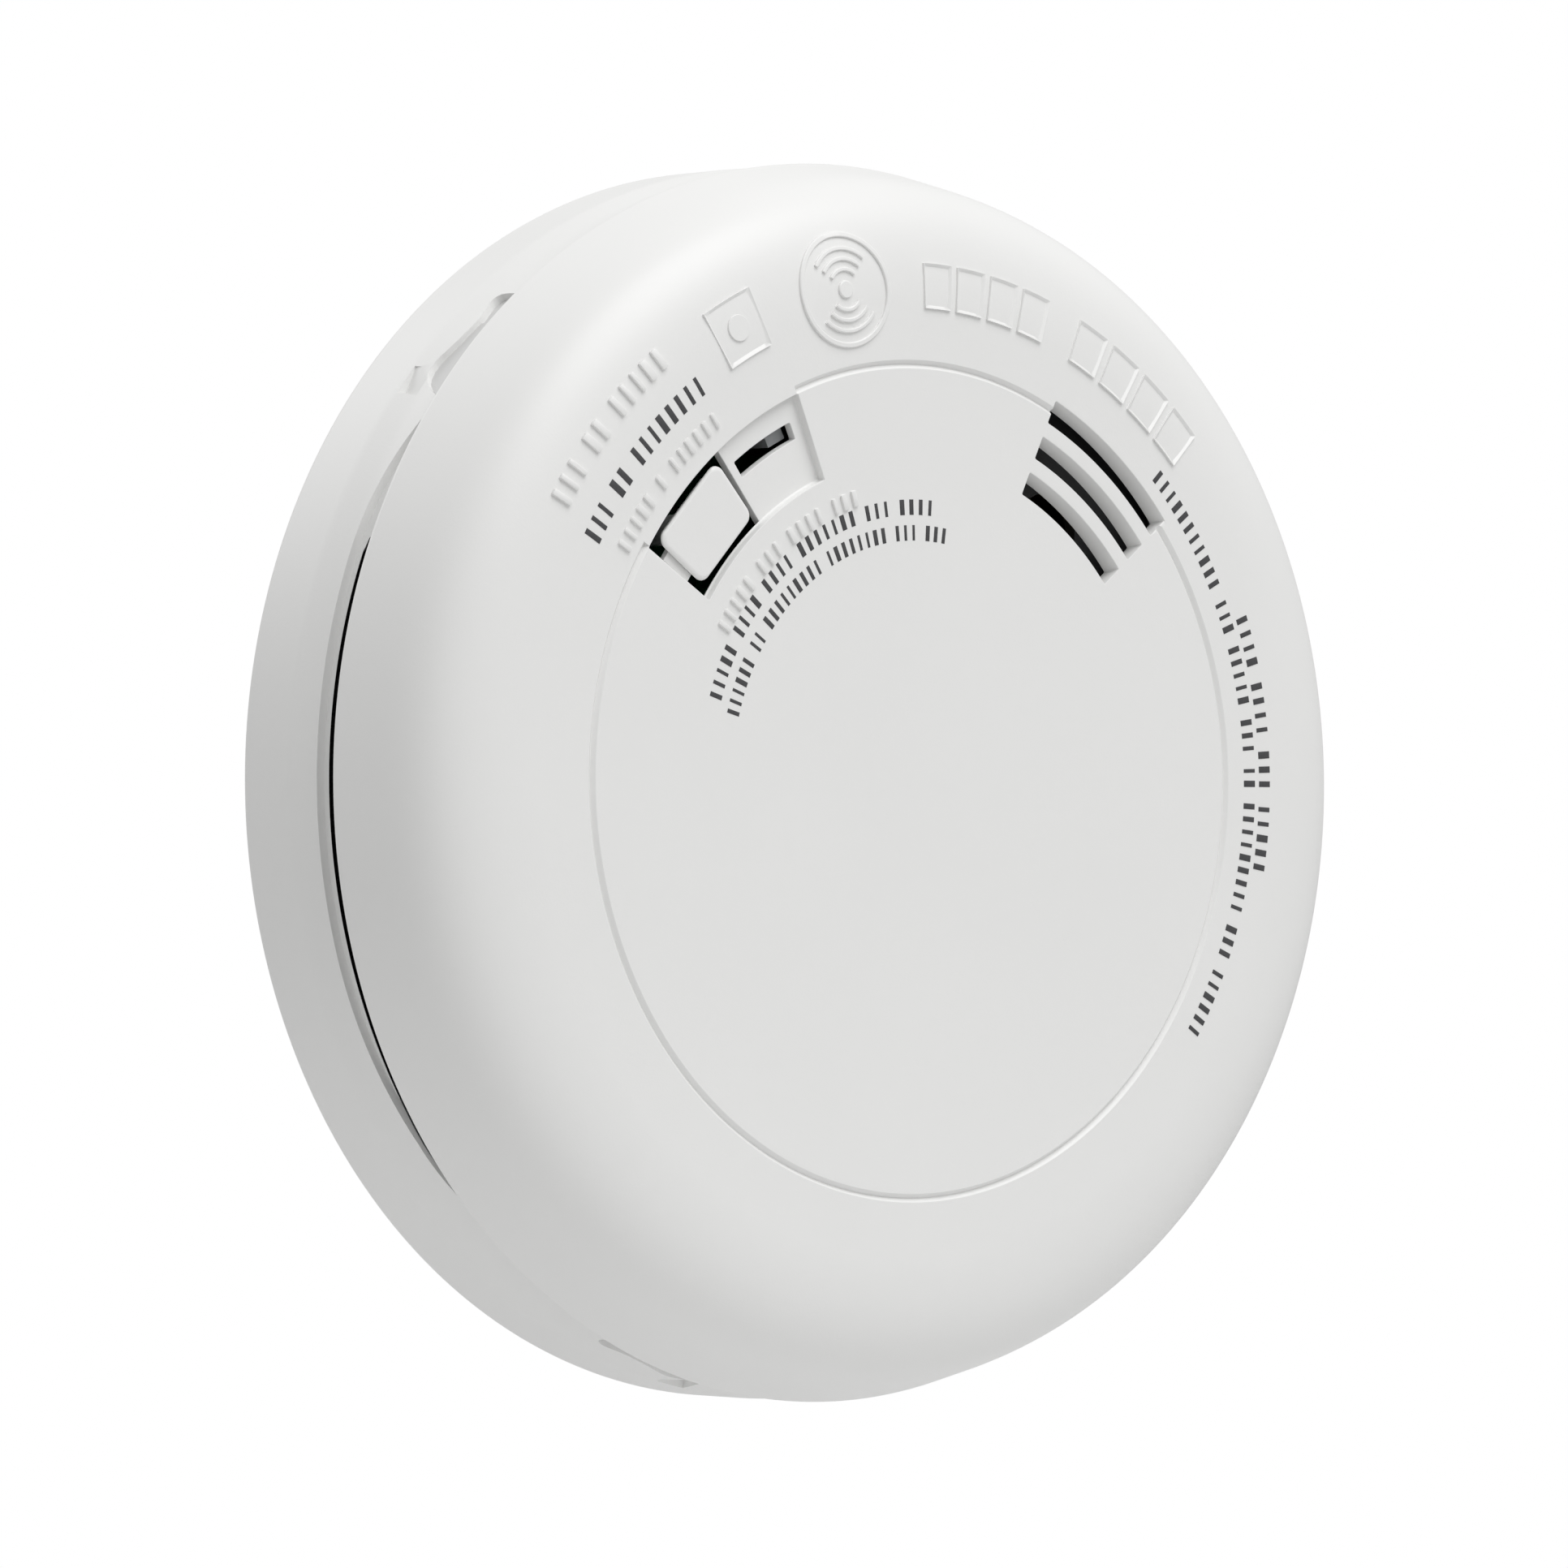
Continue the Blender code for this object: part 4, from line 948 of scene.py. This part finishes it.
def copied(piece, turn, place=(0.0, 0.0, 0.0), scale=(1.0, 1.0, 1.0)):
    """A copy with its own mesh, scaled, turned about the axis and moved."""
    twin = piece.copy()
    twin.data = piece.data.copy()
    bpy.context.scene.collection.objects.link(twin)
    bpy.ops.object.select_all(action="DESELECT")
    twin.select_set(True)
    bpy.context.view_layer.objects.active = twin
    twin.location = place
    twin.rotation_euler = (0.0, 0.0, math.radians(turn))
    twin.scale = scale
    bpy.ops.object.transform_apply(location=True, rotation=True, scale=True)
    return twin


def row_of_words(words, radius, start, end, tall, rise, corner):
    """Bars set out like a line of words along an arc, read clockwise."""
    gap = 0.75
    pitch = (end - start) / (sum(words) + gap * (len(words) - 1))
    wide = abs(math.radians(pitch)) * radius
    first = bar(tall, wide * 0.44, rise, corner)
    bars, angle, count = [], start, 0
    for letters in words:
        for _ in range(letters):
            count += 1
            angle += pitch / 2
            widths = (1.0, 0.72, 1.12, 0.9, 0.66)
            shape = (1.0, widths[(count * 3) % 5], 1.0)
            bars.append(copied(first, angle, polar(radius, angle), shape))
            angle += pitch / 2
        angle += pitch * gap
    bpy.data.objects.remove(first)
    return lay_on_face(joined(bars))


raised = [
    row_of_words((3, 2, 5), 59.6, 150.0, 128.0, 2.5, 0.40, 0.12),
    row_of_words((5, 1, 6), 49.75, 150.0, 126.0, 1.85, 0.34, 0.10),
    row_of_words((5, 3, 4, 3), 33.1, 150.5, 105.5, 1.85, 0.34, 0.10),
]
printed = [
    row_of_words((3, 2, 8), 54.0, 151.5, 125.5, 2.35, 0.03, 0.02),
    row_of_words((5, 4, 4, 7, 3, 4), 31.0, 164.0, 85.5, 1.75, 0.03, 0.02),
    row_of_words((6, 2, 9, 8, 3, 3), 28.1, 166.0, 81.0, 1.75, 0.03, 0.02),
    row_of_words((11, 3, 5, 3, 2, 9, 3, 6), 51.0, 45.0, -35.0, 1.75, 0.03, 0.02),
    row_of_words((4, 4, 3, 5), 53.4, 22.0, -11.3, 1.75, 0.03, 0.02),
]


def tile(inner, outer, start, end, line, rise):
    """A blank raised outline with soft corners, on the cover's shoulder."""
    piece = block(inner, outer, start, end, FACE - 0.06, FACE + rise, 1.0)
    edit(piece)
    bpy.ops.mesh.select_all(action="DESELECT")
    bpy.ops.object.mode_set(mode="OBJECT")
    for face in piece.data.polygons:
        face.select = face.normal.z > 0.9 and face.center.z > FACE * MM
    bpy.ops.object.mode_set(mode="EDIT")
    bpy.ops.mesh.inset(thickness=line * MM, use_even_offset=True)
    bpy.ops.transform.translate(value=(0.0, 0.0, -(rise + 0.03) * MM))
    bpy.ops.object.mode_set(mode="OBJECT")
    round_edges(piece, 0.07, 50.0, 2)
    return lay_on_face(piece)


for first, last, count in ((89.5, 69.5, 4), (65.5, 43.0, 4)):
    pitch = (first - last) / count
    for number in range(count):
        start = first - pitch * (number + 1) + pitch * 0.09
        raised.append(tile(53.6, 58.8, start, start + pitch * 0.82, 0.42, 0.32))
raised.append(tile(53.2, 60.2, 114.1, 121.1, 0.45, 0.32))
bpy.ops.mesh.primitive_cylinder_add(
    vertices=32, radius=1.5 * MM, depth=0.3 * MM, location=(*polar(56.7, 117.6)[:2], (FACE + 0.06) * MM)
)
stud = bpy.context.object
bpy.ops.object.transform_apply(location=True)
round_edges(stud, 0.08)
raised.append(lay_on_face(stud))

badge = [
    spun([(6.0, FACE - 0.06), (6.6, FACE - 0.06), (6.6, FACE + 0.22), (6.5, FACE + 0.3),
          (6.1, FACE + 0.3), (6.0, FACE + 0.22)], step=5.0),
    spun([(0.0, FACE - 0.06), (1.0, FACE - 0.06), (1.0, FACE + 0.22), (0.9, FACE + 0.3),
          (0.0, FACE + 0.3)], step=12.0),
]
for radius in (2.3, 3.5, 4.7):
    section = [(radius - 0.22, FACE - 0.06), (radius + 0.22, FACE - 0.06), (radius + 0.22, FACE + 0.22),
               (radius + 0.13, FACE + 0.3), (radius - 0.13, FACE + 0.3), (radius - 0.22, FACE + 0.22)]
    badge.append(spun(section, 101.0 - 48.0, 101.0 + 48.0, 6.0))
    badge.append(spun(section, 281.0 - 48.0, 281.0 + 48.0, 6.0))
roundel = copied(joined(badge), 0.0, polar(56.25, 101.0))
bpy.data.objects.remove(badge[0])
raised.append(lay_on_face(roundel))

complete(joined(raised), "raised_marks", cover_plastic, "alarm")
made, shader, paint = finish("printed_ink")
speck = paint.noise(0.25, 3.0)
drive(
    shader,
    base_color=speck.mix((0.035, 0.035, 0.037), (0.070, 0.070, 0.074)),
    roughness=0.50 + speck * 0.15,
    normal=paint.bump(speck, 0.004),
)
complete(joined(printed), "printed_marks", made, "alarm")


# ---------------------------------------------------------------------------------------------
# Studio. A pale floor well below the alarm, white surroundings, one wide soft light in front of
# and above it, and a long lens a little to the left of it and just under its middle.
# ---------------------------------------------------------------------------------------------
bpy.ops.object.select_all(action="DESELECT")
bpy.ops.mesh.primitive_circle_add(vertices=96, radius=0.34, fill_type="NGON", location=(0.0, -0.02, -0.12))
floor = bpy.context.object
floor.name = "studio_floor"
made, shader, paint = finish("pale_floor")
shader.inputs["Base Color"].default_value = (0.74, 0.74, 0.74, 1.0)
reach = paint.node("ShaderNodeVectorMath", {"operation": "LENGTH"}, {0: paint.places()}, "Value")
drive(shader, roughness=0.75 + paint.noise(6.0) * 0.1)
fade = paint.node(
    "ShaderNodeMapRange",
    {"interpolation_type": "SMOOTHSTEP"},
    {"Value": reach, "From Min": 0.2, "From Max": 0.335, "To Min": 1.0, "To Max": 0.0},
)
drive(shader, alpha=fade)
floor.data.materials.append(made)

world = bpy.data.worlds.new("studio_white")
world.use_nodes = True
bpy.context.scene.world = world
sky = Paint(world.node_tree)
seen = sky.node("ShaderNodeLightPath", out="Is Camera Ray")
direction = sky.node("ShaderNodeTexCoord", out="Generated")
height = sky.node("ShaderNodeSeparateXYZ", inputs={0: direction}, out="Z")
side = sky.node("ShaderNodeSeparateXYZ", inputs={0: direction}, out="X")
ambient = 0.515 + height * 0.07 + side * 0.045
glow = world.node_tree.nodes["Background"]
glow.inputs["Color"].default_value = (1.0, 1.0, 1.0, 1.0)
strength = ambient * (1.0 - seen) + seen
world.node_tree.links.new(strength.socket, glow.inputs["Strength"])

key_data = bpy.data.lights.new("wide_soft_light", "AREA")
key_data.shape = "DISK"
key_data.size = 1.1
key_data.energy = 10.5
key = bpy.data.objects.new("wide_soft_light", key_data)
bpy.context.scene.collection.objects.link(key)
aim = Vector((0.06, -0.55, 0.83)).normalized()
key.location = aim * 1.3
key.rotation_euler = aim.to_track_quat("Z", "Y").to_euler()

fill_data = bpy.data.lights.new("back_fill_light", "AREA")
fill_data.shape = "DISK"
fill_data.size = 0.9
fill_data.energy = 3.5
fill = bpy.data.objects.new("back_fill_light", fill_data)
bpy.context.scene.collection.objects.link(fill)
aim = Vector((-0.25, 0.80, 0.55)).normalized()
fill.location = aim * 1.3
fill.rotation_euler = aim.to_track_quat("Z", "Y").to_euler()

AZIMUTH, ELEVATION, DISTANCE, ACROSS = 39.81, -0.77, 1.039, 0.00593
turn, tilt = math.radians(AZIMUTH), math.radians(ELEVATION)
toward = Vector((-math.sin(turn) * math.cos(tilt), -math.cos(turn) * math.cos(tilt), math.sin(tilt)))
lens = bpy.data.cameras.new("studio_camera")
lens.lens = 205.6
lens.sensor_width = 36.0
lens.clip_start = 0.05
camera = bpy.data.objects.new("studio_camera", lens)
bpy.context.scene.collection.objects.link(camera)
camera.location = toward * DISTANCE + Vector((math.cos(turn), -math.sin(turn), 0.0)) * ACROSS
camera.rotation_euler = toward.to_track_quat("Z", "Y").to_euler()
bpy.context.scene.camera = camera
bpy.context.scene.view_settings.view_transform = "Standard"
